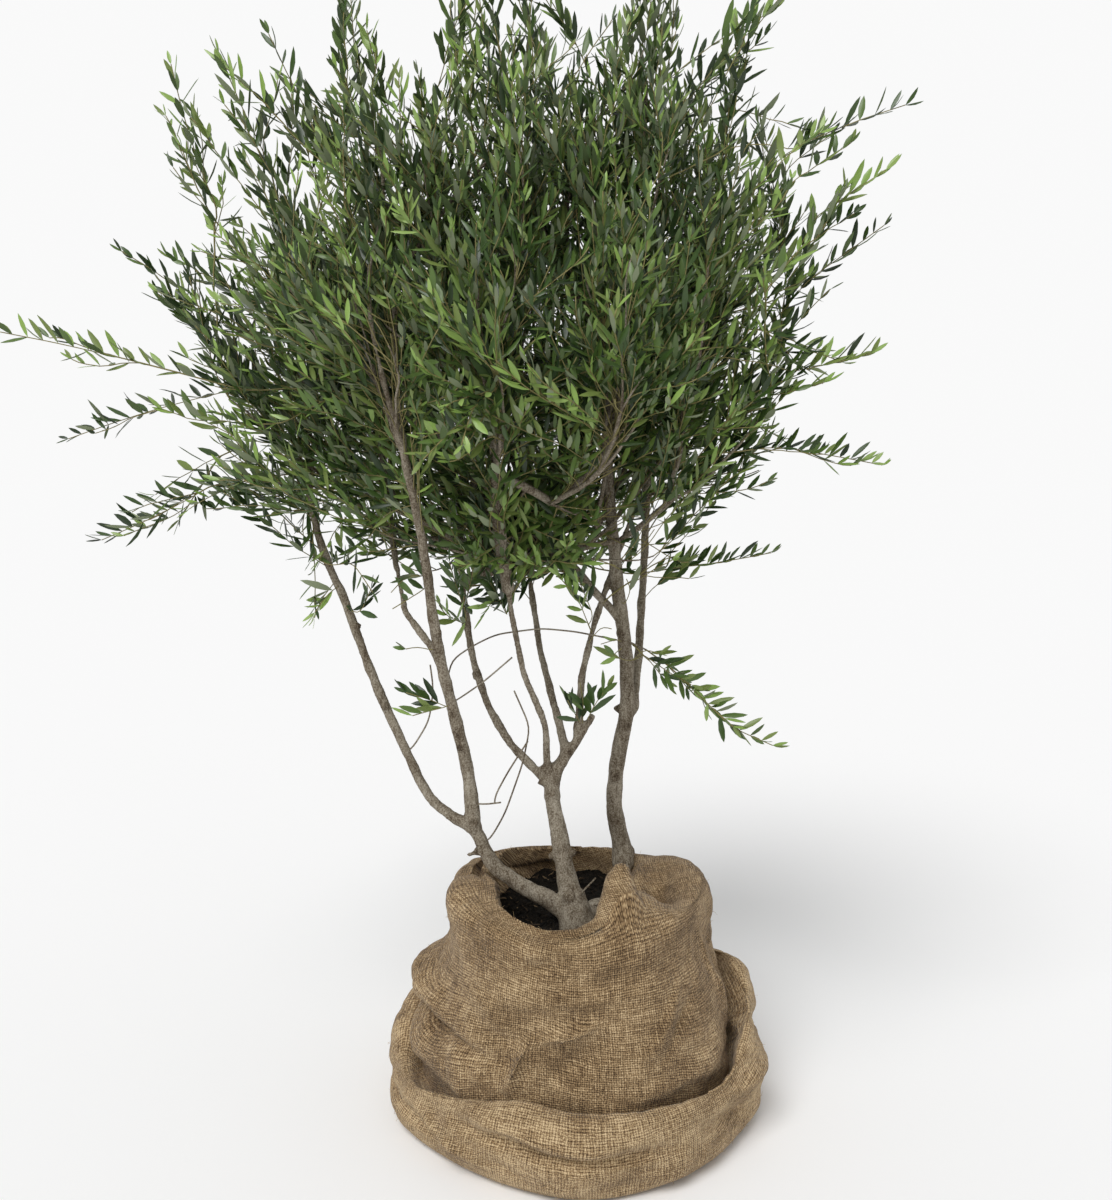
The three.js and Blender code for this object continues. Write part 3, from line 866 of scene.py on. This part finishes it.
VOXEL = 0.0030
BARK_SIDES = 14  # sides of the tubes that the bark mesh, the boughs and the twigs start from
BOUGH_SIDES = 8
TWIG_SIDES = 3
THICK = 0.0042  # leaders go into the bark mesh down to this radius
TWIG = 0.0022  # below this a path counts as a twig

# Stubs of cut shoots and knots: limb, height, degrees from +X, then length (0 for a knot) and radius.
SCARS = (
    ("stem_centre", 0.492, 176, 0.010, 0.0046),
    ("stem_centre", 0.494, -14, 0.010, 0.0044),
    ("stem_centre", 0.622, -160, 0.010, 0.0042),
    ("stem_centre", 0.596, -92, 0.000, 0.0045),
    ("stump", 0.424, -104, 0.004, 0.0060),
    ("stem_left_crook", 0.505, 172, 0.022, 0.0046),
    ("stem_left", 0.556, -76, 0.000, 0.0056),
    ("stem_left", 0.700, -110, 0.000, 0.0036),
    ("stem_left", 0.905, -60, 0.006, 0.0045),
    ("stem_left_crook", 0.436, -80, 0.000, 0.0036),
    ("stem_right", 0.602, -98, 0.005, 0.0068),
    ("stem_right", 0.700, -70, 0.000, 0.0050),
    ("stem_right", 0.722, 178, 0.012, 0.0048),
    ("stem_right", 0.880, -120, 0.005, 0.0050),
    ("stem_far_left", 0.760, -90, 0.005, 0.0040),
    ("stem_far_left", 0.900, -30, 0.006, 0.0034),
    ("bough_centre_left", 0.800, -150, 0.004, 0.0038),
    ("arm_centre_right", 0.668, -60, 0.000, 0.0040),
)

# Furrows, blisters and slow swellings: share of their height that they are drawn by, scale, seed, depth.
BARK_RELIEF = ((0.35, 90, 2, 0.00075), (1, 240, 3, 0.00035), (1, 26, 4, 0.0010))

radii = wood_radii()


def scar_place(limb, height, degrees):
    """Where a scar sits on its limb, and the way it looks out."""
    line, girths, _ = limbs[limb]
    k = int(np.abs(line[:, 2] - height).argmin())
    run = unit(line[min(k + 1, len(line) - 1)] - line[max(k - 1, 0)])
    out = np.array([math.cos(math.radians(degrees)), math.sin(math.radians(degrees)), 0.25])
    out = unit(out - (out @ run) * run)
    return line[k], girths[k], out


def bark_mesh():
    """One skin over the trunk, the boughs and their leaders, with its knots, stubs and furrows."""
    rows = [line for line, _, _ in limbs.values()]
    girths = [girth for _, girth, _ in limbs.values()]
    for row in leader_rows:
        row = np.concatenate([[skeleton.parent[row[0]]], row[radii[row] > THICK]])
        if len(row) < 3:
            continue
        rows.append(skeleton.spots[row])
        girths.append(radii[row])
    for limb, height, degrees, length, radius in SCARS:
        if length > 0:
            spot, girth, out = scar_place(limb, height, degrees)
            ends = np.array([spot, spot + out * girth, spot + out * (girth + length)])
            rows.append(resampled(ends, 0.003))
            girths.append(np.linspace(1.5, 0.9, len(rows[-1])) * radius)
    points, faces = tubes(rows, girths, BARK_SIDES)
    piece = mesh_piece("trunk_bark", points, faces, [bark])
    skin = piece.modifiers.new("skin", "REMESH")
    skin.mode = "VOXEL"
    skin.voxel_size = VOXEL
    even = piece.modifiers.new("even", "SMOOTH")
    even.factor = 0.6
    even.iterations = 7
    apply_modifiers(piece)
    relief(piece)
    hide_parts(*limbs)


def relief(piece):
    """Furrows along the grain, small blisters, and a ring round every knot. Scars are kept as a weight."""
    mesh = piece.data
    count = len(mesh.vertices)
    spots = np.zeros(count * 3)
    normals = np.zeros(count * 3)
    mesh.vertices.foreach_get("co", spots)
    mesh.vertices.foreach_get("normal", normals)
    spots, normals = spots.reshape(-1, 3), normals.reshape(-1, 3)
    push = sum(noise_field(spots * np.array([1, 1, upright]), scale, seed) * depth
               for upright, scale, seed, depth in BARK_RELIEF)
    scar = np.zeros(count)
    for limb, height, degrees, length, radius in SCARS:
        spot, girth, out = scar_place(limb, height, degrees)
        away = np.linalg.norm(spots - (spot + out * girth), axis=1) / radius
        push += 0.0022 * hump(away - 1.3, 0.5) - 0.0012 * hump(away, 0.7)
        tip = np.linalg.norm(spots - (spot + out * (girth + length)), axis=1) / radius
        scar = np.maximum(scar, np.maximum(hump(tip, 1.1), 0.7 * hump(away - 1.2, 0.45)))
    spots = spots + normals * push[:, None]
    mesh.vertices.foreach_set("co", spots.ravel())
    weight = mesh.attributes.new("scar", "FLOAT", "POINT")
    weight.data.foreach_set("value", scar.astype(np.float32))
    mesh.polygons.foreach_set("use_smooth", np.ones(len(mesh.polygons), bool))
    mesh.update()


def bark_material():
    """Smooth young olive bark: grey over brown, in blotches drawn out along the stem, dark at scars."""
    recipe = Recipe("bark_olive", 0.85, 0.25)
    place = recipe.node("ShaderNodeTexCoord").outputs["Object"]
    blotch = recipe.noise(place, 30, 5, (1, 1, 0.55), 0.62)
    grain = recipe.noise(place, 150, 4, (1, 1, 0.30), 0.6)
    fleck = recipe.noise(place, 420, 2, (1, 1, 0.8))
    tone = recipe.add_share(recipe.maths("MULTIPLY", blotch, 0.54), grain, 0.38)
    tone = recipe.add_share(tone, fleck, 0.62, 0.5)
    scar = recipe.node("ShaderNodeAttribute", attribute_name="scar").outputs["Fac"]
    tone = recipe.maths("SUBTRACT", tone, recipe.maths("MULTIPLY", scar, 0.15))
    stops = ((0.16, (0.028, 0.018, 0.010)), (0.36, (0.118, 0.090, 0.060)), (0.48, (0.232, 0.198, 0.148)),
             (0.66, (0.395, 0.355, 0.285)))
    height = recipe.add_share(grain, fleck, 0.6)
    return recipe.finish(recipe.ramp(tone, stops), height, 0.55, 0.0022)


bark = bark_material()


def build_wood():
    """The bark mesh, then the boughs and the twigs that it doesn't take in."""
    bark_mesh()
    in_bark = {int(row[0]) for row in leader_rows}
    kinds = {"boughs": ([], []), "twigs": ([], [])}
    for path in skeleton.paths[len(limbs):]:
        r = radii[path].copy()
        r[0] = min(r[0], r[1] * 1.15)
        if int(path[1]) in in_bark:
            keep = radii[path] <= THICK * 1.15
            path, r = path[keep], r[keep]
        if len(path) < 2:
            continue
        old = r[min(1, len(r) - 1)] > TWIG or skeleton.girth[path[1]] > 0
        kind = kinds["boughs" if old else "twigs"]
        kind[0].append(skeleton.spots[path])
        kind[1].append(r)
    points, faces = tubes(*kinds["boughs"], BOUGH_SIDES)
    mesh_piece("boughs", points, faces, [bark])
    points, faces = tubes(*kinds["twigs"], TWIG_SIDES)
    twig = plain_material("twig_olive", (0.270, 0.235, 0.095), 0.7, 0.3)
    mesh_piece("twigs", points, faces, [twig])


build_wood()


# ---- sack: two sheets of burlap, a sleeve round the root ball and the slack rolled down round its foot ----

AROUND = 400
INNER_ROWS = 46
OUTER_ROWS = 66
CLOTH_THICKNESS = 0.0022
CLOTH_SLANT = 0.0047  # metres round the sack for each degree
THREAD_PITCH = 0.0040

# Shape of the cloth at a few places round the sack: degrees from +X, then metres.
SLEEVE_KEYS = (
    # angle, crest radius, crest height, mouth radius, hem radius
    (-180, 0.208, 0.436, 0.152, 0.284),
    (-158, 0.200, 0.440, 0.142, 0.286),
    (-132, 0.218, 0.428, 0.184, 0.284),
    (-112, 0.216, 0.408, 0.198, 0.274),
    (-92, 0.210, 0.401, 0.188, 0.272),
    (-68, 0.196, 0.416, 0.132, 0.276),
    (-42, 0.214, 0.432, 0.100, 0.280),
    (-10, 0.226, 0.434, 0.074, 0.282),
    (22, 0.224, 0.430, 0.084, 0.280),
    (50, 0.220, 0.418, 0.134, 0.276),
    (78, 0.220, 0.406, 0.196, 0.274),
    (108, 0.220, 0.414, 0.198, 0.274),
    (140, 0.214, 0.430, 0.176, 0.278),
)
ROLL_KEYS = (
    # angle, crest height, crest radius, groove depth inside the crest, outermost radius
    (-180, 0.150, 0.310, 0.020, 0.350),
    (-160, 0.112, 0.326, 0.030, 0.346),
    (-136, 0.132, 0.304, 0.016, 0.326),
    (-112, 0.150, 0.288, 0.004, 0.326),
    (-88, 0.142, 0.286, 0.004, 0.338),
    (-62, 0.140, 0.296, 0.020, 0.330),
    (-36, 0.146, 0.310, 0.060, 0.328),
    (-12, 0.196, 0.314, 0.070, 0.342),
    (14, 0.240, 0.304, 0.050, 0.340),
    (45, 0.214, 0.304, 0.030, 0.336),
    (80, 0.182, 0.300, 0.020, 0.336),
    (115, 0.184, 0.298, 0.016, 0.338),
    (150, 0.190, 0.296, 0.010, 0.344),
)
MOUTH_HEIGHT = 0.356  # the cloth tucks in under the top of the compost
VALLEY_DROP = 0.020
HEM_TUCK = 0.014  # the sleeve ends this far down inside the roll
VALLEY_RADIUS = 0.262
# Places on the rim, from above: a fold stands up before the right stem, and beside it the cloth sags.
PEAK_PLACE = np.array([0.068, -0.160])
PEAK_RISE = 0.080
PEAK_SIZE = np.array([0.023, 0.034])
POCKET_PLACE = np.array([0.150, -0.020])
POCKET_DEPTH = 0.076
POCKET_SIZE = np.array([0.036, 0.072])

# Folds of the sleeve: (degrees, height) where each starts and ends, then its half width and its rise.
SLEEVE_FOLDS = (
    ((150, 0.262), (-150, 0.240), 0.026, 0.034),
    ((150, 0.214), (-118, 0.202), 0.012, -0.022),
    ((165, 0.160), (-138, 0.150), 0.030, 0.022),
    ((-116, 0.160), (-110, 0.235), 0.011, 0.019),
    ((-111, 0.232), (-84, 0.268), 0.013, 0.015),
    ((-103, 0.175), (-80, 0.235), 0.020, -0.012),
    ((-128, 0.226), (-96, 0.246), 0.013, -0.008),
    ((-124, 0.292), (-60, 0.318), 0.020, 0.008),
    ((-64, 0.225), (-48, 0.318), 0.010, 0.009),
    ((-60, 0.205), (-41, 0.300), 0.010, -0.008),
    ((-84, 0.386), (-128, 0.330), 0.018, -0.008),
    ((-76, 0.150), (-30, 0.168), 0.016, 0.008),
    ((-24, 0.360), (-16, 0.180), 0.012, 0.009),
    ((-10, 0.330), (2, 0.150), 0.014, -0.011),
    ((20, 0.150), (60, 0.330), 0.020, 0.015),
    ((80, 0.350), (130, 0.180), 0.018, 0.015),
    ((95, 0.200), (60, 0.380), 0.014, -0.014),
    ((120, 0.380), (150, 0.230), 0.014, 0.012),
)
ROLL_FOLDS = (
    ((-132, 0.096), (-62, 0.078), 0.010, -0.017),
    ((-128, 0.118), (-70, 0.104), 0.015, 0.012),
    ((-178, 0.066), (-140, 0.046), 0.012, -0.017),
    ((-150, 0.078), (-122, 0.040), 0.012, 0.012),
    ((-52, 0.092), (-24, 0.060), 0.013, -0.013),
    ((-40, 0.110), (-8, 0.120), 0.016, 0.013),
    ((-12, 0.170), (30, 0.110), 0.014, -0.014),
    ((40, 0.140), (96, 0.070), 0.016, -0.014),
    ((110, 0.120), (160, 0.080), 0.014, -0.014),
)


def round_the_sack(keys, column, angles):
    """One column of keys as a smooth closed curve over angles in degrees."""
    at = np.array([key[0] for key in keys], float)
    values = np.array([key[column] for key in keys], float)
    at = np.concatenate([at - 360, at, at + 360])
    values = np.tile(values, 3)
    slope = np.gradient(values, at)
    place = np.searchsorted(at, angles) - 1
    width = at[place + 1] - at[place]
    t = (angles - at[place]) / width
    a = (2 * t**3 - 3 * t**2 + 1) * values[place] + (t**3 - 2 * t**2 + t) * width * slope[place]
    return a + (3 * t**2 - 2 * t**3) * values[place + 1] + (t**3 - t**2) * width * slope[place + 1]


def folded(angle, height, folds):
    """How far a sheet stands out at each place, by its raised and sunk soft lines."""
    total = 0 * angle + 0 * height
    for start, end, width, rise in folds:
        x, y = turn_between(angle, start[0]) * CLOTH_SLANT, height - start[1]
        dx, dy = turn_between(end[0], start[0]) * CLOTH_SLANT, end[1] - start[1]
        along = np.clip((x * dx + y * dy) / (dx * dx + dy * dy), 0, 1)
        away = np.hypot(x - along * dx, y - along * dy)
        total = total + rise * hump(away, width) * np.sin(np.pi * (0.12 + 0.76 * along))
    return total


def wrinkled(grid, amount, seed):
    """Pushes a sheet in and out along its normals: broad slack, then finer wrinkles."""
    around = np.roll(grid, -1, 1) - np.roll(grid, 1, 1)
    normal = unit(np.cross(around, np.gradient(grid, axis=0)))
    slanted = grid + 0.45 * grid[..., 2:3] * np.array([1.0, 0.4, 0])
    broad = noise_field(slanted, 8, seed) * 0.0085
    ridges = 1 - 2 * np.abs(noise_field(slanted * np.array([1, 1, 1.5]), 13, seed + 1))
    small = noise_field(grid, 48, seed + 2) * 0.0011
    return grid + normal * ((broad + ridges * 0.0022 + small) * amount)[..., None]


def grid_faces(rows, around):
    """Faces of a grid of points that closes on itself round the sack, and the numbers of its points."""
    numbers = np.arange(rows * around).reshape(rows, around)
    after = np.roll(numbers, -1, 1)
    return np.stack([numbers[:-1], numbers[1:], after[1:], after[:-1]], -1).reshape(-1, 4), numbers


def cloth_piece(name, grid, material, top_rows=0):
    """A sheet with thickness from a grid of points that closes round the sack.

    Its weave runs with the grid, and straight across on the top_rows first rows, which lie flatter.
    """
    rows, around = grid.shape[:2]
    faces, _ = grid_faces(rows, around)
    piece = mesh_piece(name, grid.reshape(-1, 3), faces, [material])
    steps = np.linalg.norm(np.diff(grid, axis=0), axis=2).mean(1)
    down = np.concatenate([[0], np.cumsum(steps)])
    column, row = faces % around, faces // around
    column = np.where((column == 0) & (column == around - 1).any(1)[:, None], around, column)
    across = column / around * 360 * CLOTH_SLANT
    places = np.stack([across, down[row]], -1)
    flat = grid.reshape(-1, 3)[faces]
    flat = np.stack([flat[..., 0] + 0.6 * flat[..., 2], flat[..., 1] + flat[..., 2]], -1)
    on_top = (row.max(1) <= top_rows)[:, None, None]
    places = np.where(on_top, flat, places)
    weave = piece.data.uv_layers.new(name="weave")
    weave.data.foreach_set("uv", places.astype(np.float32).ravel())
    solid = piece.modifiers.new("thickness", "SOLIDIFY")
    solid.thickness = CLOTH_THICKNESS
    solid.offset = -1
    apply_modifiers(piece)
    return piece


def sleeve_grid():
    angles = np.linspace(-180, 180, AROUND, endpoint=False)[None, :]
    crest_r, crest_z, mouth_r, hem_r = (round_the_sack(SLEEVE_KEYS, k, angles) for k in range(1, 5))
    hem_z = valley_height(angles) - HEM_TUCK
    turn = np.radians(angles)
    inner = np.linspace(1, 0, INNER_ROWS + 1)[:-1, None]
    r = crest_r + (mouth_r - crest_r) * np.minimum(1, 1.12 * inner) ** 0.8
    z = crest_z - (crest_z - MOUTH_HEIGHT) * smooth_step(0.55, 1, inner)
    z = z + 0.010 * np.sin(np.pi * np.minimum(1, 1.6 * inner))
    flap = hump(turn_between(angles, 138), 46)  # at the back left the cloth is turned in on itself
    z = z - flap * (0.036 * hump(inner - 0.30, 0.12) - 0.006 * hump(inner - 0.62, 0.16))
    even = np.linspace(0, 1, OUTER_ROWS)[:, None]
    outer = even**1.15
    drop = crest_z + (hem_z - crest_z) * outer
    belly = hem_r + (0.244 - hem_r) * smooth_step(0.16, 0.38, drop)
    shoulder = np.sqrt(np.clip(1 - (1 - np.minimum(1, (crest_z - drop) / 0.040)) ** 2, 0, 1))
    r = np.concatenate([r, crest_r + (belly - crest_r) * shoulder])
    z = np.concatenate([z, drop])
    x, y = r * np.cos(turn), r * np.sin(turn)
    fade = 1 - smooth_step(0.0, 0.42, even)
    on_top = np.concatenate([smooth_step(0, 0.25, 1 - inner), fade])
    lean = x - PEAK_PLACE[0] + 0.12 * (y - PEAK_PLACE[1])
    peak = np.exp(-np.abs(lean / PEAK_SIZE[0]) ** 2.8) * hump(y - PEAK_PLACE[1], PEAK_SIZE[1])
    shoulders = hump(lean, 2.4 * PEAK_SIZE[0]) * hump(y - PEAK_PLACE[1], PEAK_SIZE[1])
    pocket = hump(x - POCKET_PLACE[0], POCKET_SIZE[0]) * hump(y - POCKET_PLACE[1], POCKET_SIZE[1])
    z = z + on_top * (PEAK_RISE * (0.72 * peak + 0.28 * shoulders) - POCKET_DEPTH * pocket)
    outside = np.concatenate([np.zeros_like(inner), smooth_step(0, 0.10, even)])
    r = r + folded(angles, z, SLEEVE_FOLDS) * outside
    return np.stack([r * np.cos(turn), r * np.sin(turn), z], -1)


def valley_height(angles):
    """Height of the roll's inner edge, where the sleeve stands in it."""
    crest_z, groove = (round_the_sack(ROLL_KEYS, k, angles) for k in (1, 3))
    return crest_z - groove - VALLEY_DROP


def roll_grid():
    angles = np.linspace(-180, 180, AROUND, endpoint=False)[None, :]
    crest_z, crest_r, groove, outer_r = (round_the_sack(ROLL_KEYS, k, angles) for k in range(1, 5))
    turn = np.radians(angles)
    foot_r = outer_r - 0.036
    sections = []
    for t in np.linspace(0, 1, 20)[:-1]:  # from inside the sleeve's hem up to the crest
        r = VALLEY_RADIUS + (crest_r - VALLEY_RADIUS) * t**0.8
        sections.append((r, crest_z - groove * np.cos(np.pi / 2 * t) ** 1.4 - VALLEY_DROP * (1 - t) ** 2))
    for t in np.linspace(0, 1, 48)[:-1]:  # over the crest, out to the widest place and in to the foot
        low_r = crest_r + (foot_r - crest_r) * t
        r = low_r + (outer_r - low_r) * math.sin(math.pi * t) ** 0.75
        sections.append((r, 0.004 + (crest_z - 0.004) * (0.5 + 0.5 * math.cos(math.pi * t)) ** 0.92))
    for t in np.linspace(0, 1, 10):  # underneath, in to the middle
        sections.append((foot_r * (1 - t) + 0.004 * t, 0 * crest_z + 0.0006))
    r = np.concatenate([section[0] for section in sections])
    z = np.concatenate([section[1] for section in sections])
    r = r + folded(angles, z, ROLL_FOLDS) * smooth_step(0.01, 0.04, z) * smooth_step(0.27, 0.30, r)
    grid = np.stack([r * np.cos(turn), r * np.sin(turn), z], -1)
    free = smooth_step(0.004, 0.03, z)[..., None]
    return grid + (wrinkled(grid, 1.05, 5) - grid) * free


MIDDLE_TONE = 0.62
WEAVE_CONTRAST = 1.6


def weave_material(name, painted_light_shift):
    """Coarse plain weave of jute: warp over weft by turns, slubby threads, soft drift of colour. The shift
    lifts or lowers the whole tone, for a lit copy (painted light) or a shaded copy (painted shade) of the
    same cloth.
    """
    recipe = Recipe(name, 0.95, 0.12)
    recipe.shader.inputs["Sheen Weight"].default_value = 0.12
    maths = recipe.maths
    cloth = recipe.node("ShaderNodeUVMap", uv_map="weave").outputs["UV"]
    apart = recipe.node("ShaderNodeSeparateXYZ", ((0, cloth),))
    wander = maths("MULTIPLY", recipe.noise(cloth, 34, 3), 0.0060)
    places = [maths("ADD", apart.outputs[k], wander) for k in (0, 1)]
    waves = [maths("SINE", maths("MULTIPLY", place, math.pi / THREAD_PITCH)) for place in places]
    warp, weft = (maths("ABSOLUTE", wave) for wave in waves)
    over = maths("MULTIPLY", maths("GREATER_THAN", maths("MULTIPLY", *waves), 0.0), 0.5)
    warp = maths("MULTIPLY", warp, maths("ADD", 0.5, over))
    weft = maths("MULTIPLY", weft, maths("SUBTRACT", 1.0, over))
    height = maths("MAXIMUM", warp, weft)
    across = 1 / THREAD_PITCH
    slubs = [recipe.noise(cloth, 1.0, 2, stretch) for stretch in ((across, 30, 1), (30, across, 1))]
    slub = maths("ADD", *slubs)
    speck = recipe.noise(cloth, 1.15 * across, 1)
    broad = recipe.noise(cloth, 11, 4, (1, 1.6, 1))
    tone = recipe.add_share(maths("MULTIPLY", height, 0.36), slub, 0.40)
    tone = recipe.add_share(tone, broad, 0.40, 0.5)
    tone = recipe.add_share(tone, speck, 0.55, 0.5)
    stretched = maths("MULTIPLY", maths("SUBTRACT", tone, MIDDLE_TONE), WEAVE_CONTRAST)
    tone = maths("ADD", stretched, MIDDLE_TONE + painted_light_shift)
    stops = ((0.24, (0.060, 0.034, 0.015)), (0.50, (0.215, 0.138, 0.070)), (0.72, (0.36, 0.245, 0.128)),
             (0.98, (0.66, 0.50, 0.30)))
    bumps = recipe.add_share(height, slub, 0.5)
    return recipe.finish(recipe.ramp(tone, stops), bumps, 0.9, 0.0016)


FIBRES = 1500
FIBRE_LENGTH = 0.011


def build_fibres(sheets):
    """Loose jute fibres that stand off the cloth and give it a hairy edge."""
    rows = []
    for sheet in sheets:
        mesh = sheet.data
        for number in rng.integers(0, len(mesh.polygons), FIBRES // len(sheets)):
            face = mesh.polygons[int(number)]
            out, root = np.array(face.normal), np.array(face.center)
            if root[2] < 0.012:
                continue
            way = unit(0.5 * out + noise_vector()) * FIBRE_LENGTH * rng.uniform(0.3, 1.2)
            curl = noise_vector() * FIBRE_LENGTH * 0.3
            rows.append(np.array([root - out * 0.0006, root + way * 0.5 + curl, root + way]))
            rows[-1][:, 2] = np.maximum(rows[-1][:, 2], 0.004)
    points, faces = tubes(rows, [np.array([0.00035, 0.00030, 0.00015])] * len(rows), 3)
    fibre = plain_material("jute_fibre", (0.46, 0.33, 0.18), 0.9, 0.1)
    mesh_piece("sack_fibres", points, faces, [fibre])


COMPOST_RADIUS = 0.214
COMPOST_FOOT = 0.30  # height of the lower edge of its side, hidden in the sleeve
CHIPS = 2000
CHIP_SIDES = 5
CHIP_SHADES = {
    "black": (0.006, 0.005, 0.004),
    "dark": (0.020, 0.015, 0.010),
    "brown": (0.060, 0.040, 0.024),
    "straw": (0.200, 0.140, 0.080),
}
CHIP_SHARES = (0.5, 0.3, 0.15, 0.05)


def compost_height(spots):
    """Height of the compost at points of the plane: nearly level, and lumpy."""
    flat = np.stack([spots[..., 0], spots[..., 1], 0 * spots[..., 0]], -1)
    lumps = noise_field(flat, 24, 8) * 0.0060 + noise_field(flat, 85, 9) * 0.0035
    return corners("root_ball")[1][2] + lumps - 0.001


def build_compost():
    """The top of the root ball: dark lumpy compost with chips of bark and straw on it."""
    rings, around = 70, 150
    radius = np.linspace(0.002, COMPOST_RADIUS, rings)[:, None]
    turn = np.linspace(0, 2 * math.pi, around, endpoint=False)[None]
    plane = np.stack([radius * np.cos(turn), radius * np.sin(turn)], -1)
    top = np.concatenate([plane, compost_height(plane)[..., None]], -1)
    low = top[-1:].copy()
    low[..., 2] = COMPOST_FOOT
    grid = np.concatenate([top, low])
    faces, numbers = grid_faces(len(grid), around)
    faces = faces.tolist() + [numbers[0].tolist(), numbers[-1][::-1].tolist()]
    recipe = Recipe("compost_dark", 0.95, 0.2)
    place = recipe.node("ShaderNodeTexCoord").outputs["Object"]
    crumbs = recipe.noise(place, 330, 4, (1, 1, 1), 0.7)
    stops = ((0.35, (0.002, 0.002, 0.0015)), (0.58, (0.016, 0.012, 0.008)), (0.80, (0.075, 0.052, 0.032)))
    material = recipe.finish(recipe.ramp(crumbs, stops), crumbs, 1.0, 0.004)
    soil = mesh_piece("compost_top", grid.reshape(-1, 3), faces, [material])
    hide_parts("root_ball")
    rows, girths = [], []
    for _ in range(CHIPS):
        turn, radius = rng.uniform(0, 2 * math.pi), COMPOST_RADIUS * math.sqrt(rng.uniform(0, 0.9))
        root = np.array([radius * math.cos(turn), radius * math.sin(turn), 0])
        root[2] = compost_height(root[None])[0] + rng.uniform(0, 0.0025)
        way = unit(noise_vector() * np.array([1, 1, 0.35])) * rng.uniform(0.004, 0.016)
        rows.append(np.array([root - way / 2, root + noise_vector() * 0.001, root + way / 2]))
        girths.append(np.array([0.5, 1, 0.6]) * rng.uniform(0.0005, 0.0018))
    points, faces = tubes(rows, girths, CHIP_SIDES)
    shades = [plain_material(f"chip_{name}", colour, 0.9, 0.2) for name, colour in CHIP_SHADES.items()]
    dealt = np.repeat(rng.choice(len(shades), len(rows), p=CHIP_SHARES), len(faces) // len(rows))
    mesh_piece("compost_chips", points, faces, shades, False, dealt)


def build_sack():
    shaded_burlap = weave_material("burlap_painted_shade", -0.085)  # painted shade: a darker copy of the jute for the sleeve, whose front is turned from the light above
    # painted light: a lighter copy of the same jute for the roll, whose upper face takes the light from
    # above
    lit_burlap = weave_material("burlap_painted_light", 0.045)
    sleeve = cloth_piece("sack_sleeve_cloth", wrinkled(sleeve_grid(), 1.2, 1), shaded_burlap, INNER_ROWS)
    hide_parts("sack_sleeve")
    roll = cloth_piece("sack_roll_cloth", roll_grid(), lit_burlap)
    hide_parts("sack_roll")
    build_fibres([sleeve, roll])


build_sack()
build_compost()


# ---- floor, light and camera ------------------------------------------------------------------

FLOOR_HALF = 60
FLOOR_WHITE = 0.965
SKY = 0.54  # even light from all round
SUN = 1.75  # soft key light from above, left and in front
SUN_WIDTH = 34  # degrees
SUN_PLACE = (-0.45, -0.78, 1.20)


def studio():
    """A pale floor that runs to the horizon under an even white sky, and one soft key light."""
    points = [(-FLOOR_HALF, -FLOOR_HALF, 0), (FLOOR_HALF, -FLOOR_HALF, 0), (FLOOR_HALF, FLOOR_HALF, 0),
              (-FLOOR_HALF, FLOOR_HALF, 0)]
    mesh = bpy.data.meshes.new("floor")
    mesh.from_pydata(points, [], [(0, 1, 2, 3)])
    mesh.materials.append(plain_material("floor_white", (FLOOR_WHITE, FLOOR_WHITE, FLOOR_WHITE), 0.9, 0.0))
    floor = bpy.data.objects.new("floor", mesh)
    bpy.context.scene.collection.objects.link(floor)
    world = bpy.data.worlds.new("studio")
    bpy.context.scene.world = world
    world.use_nodes = True
    nodes, links = world.node_tree.nodes, world.node_tree.links
    seen = nodes["Background"]  # what the camera sees behind the object
    seen.inputs["Color"].default_value = (1, 1, 1, 1)
    steepness = Vector(SUN_PLACE).normalized().z
    floor_light = SKY + SUN * steepness / math.pi
    seen.inputs["Strength"].default_value = FLOOR_WHITE * floor_light  # as bright as the floor
    light = nodes.new("ShaderNodeBackground")
    light.inputs["Color"].default_value = (1, 1, 1, 1)
    light.inputs["Strength"].default_value = SKY
    path = nodes.new("ShaderNodeLightPath")
    mix = nodes.new("ShaderNodeMixShader")
    links.new(path.outputs["Is Camera Ray"], mix.inputs[0])
    links.new(light.outputs[0], mix.inputs[1])
    links.new(seen.outputs[0], mix.inputs[2])
    links.new(mix.outputs[0], nodes["World Output"].inputs[0])
    sun = bpy.data.lights.new("key", "SUN")
    sun.energy = SUN
    sun.angle = math.radians(SUN_WIDTH)
    lamp = bpy.data.objects.new("key", sun)
    lamp.rotation_euler = Vector(SUN_PLACE).to_track_quat("Z", "Y").to_euler()
    bpy.context.scene.collection.objects.link(lamp)
    bpy.context.scene.view_settings.view_transform = "Standard"


EYE = (-0.041, -1.984, 1.19)
LOOKS_DOWN = 7  # degrees
FOCAL_LENGTH = 33.42  # millimetres, for a sensor 36 wide


def camera():
    lens = bpy.data.cameras.new("camera")
    lens.sensor_width = 36
    lens.lens = FOCAL_LENGTH
    eye = bpy.data.objects.new("camera", lens)
    eye.location = EYE
    eye.rotation_euler = (math.radians(90 - LOOKS_DOWN), 0, 0)
    bpy.context.scene.collection.objects.link(eye)
    bpy.context.scene.camera = eye


studio()
camera()
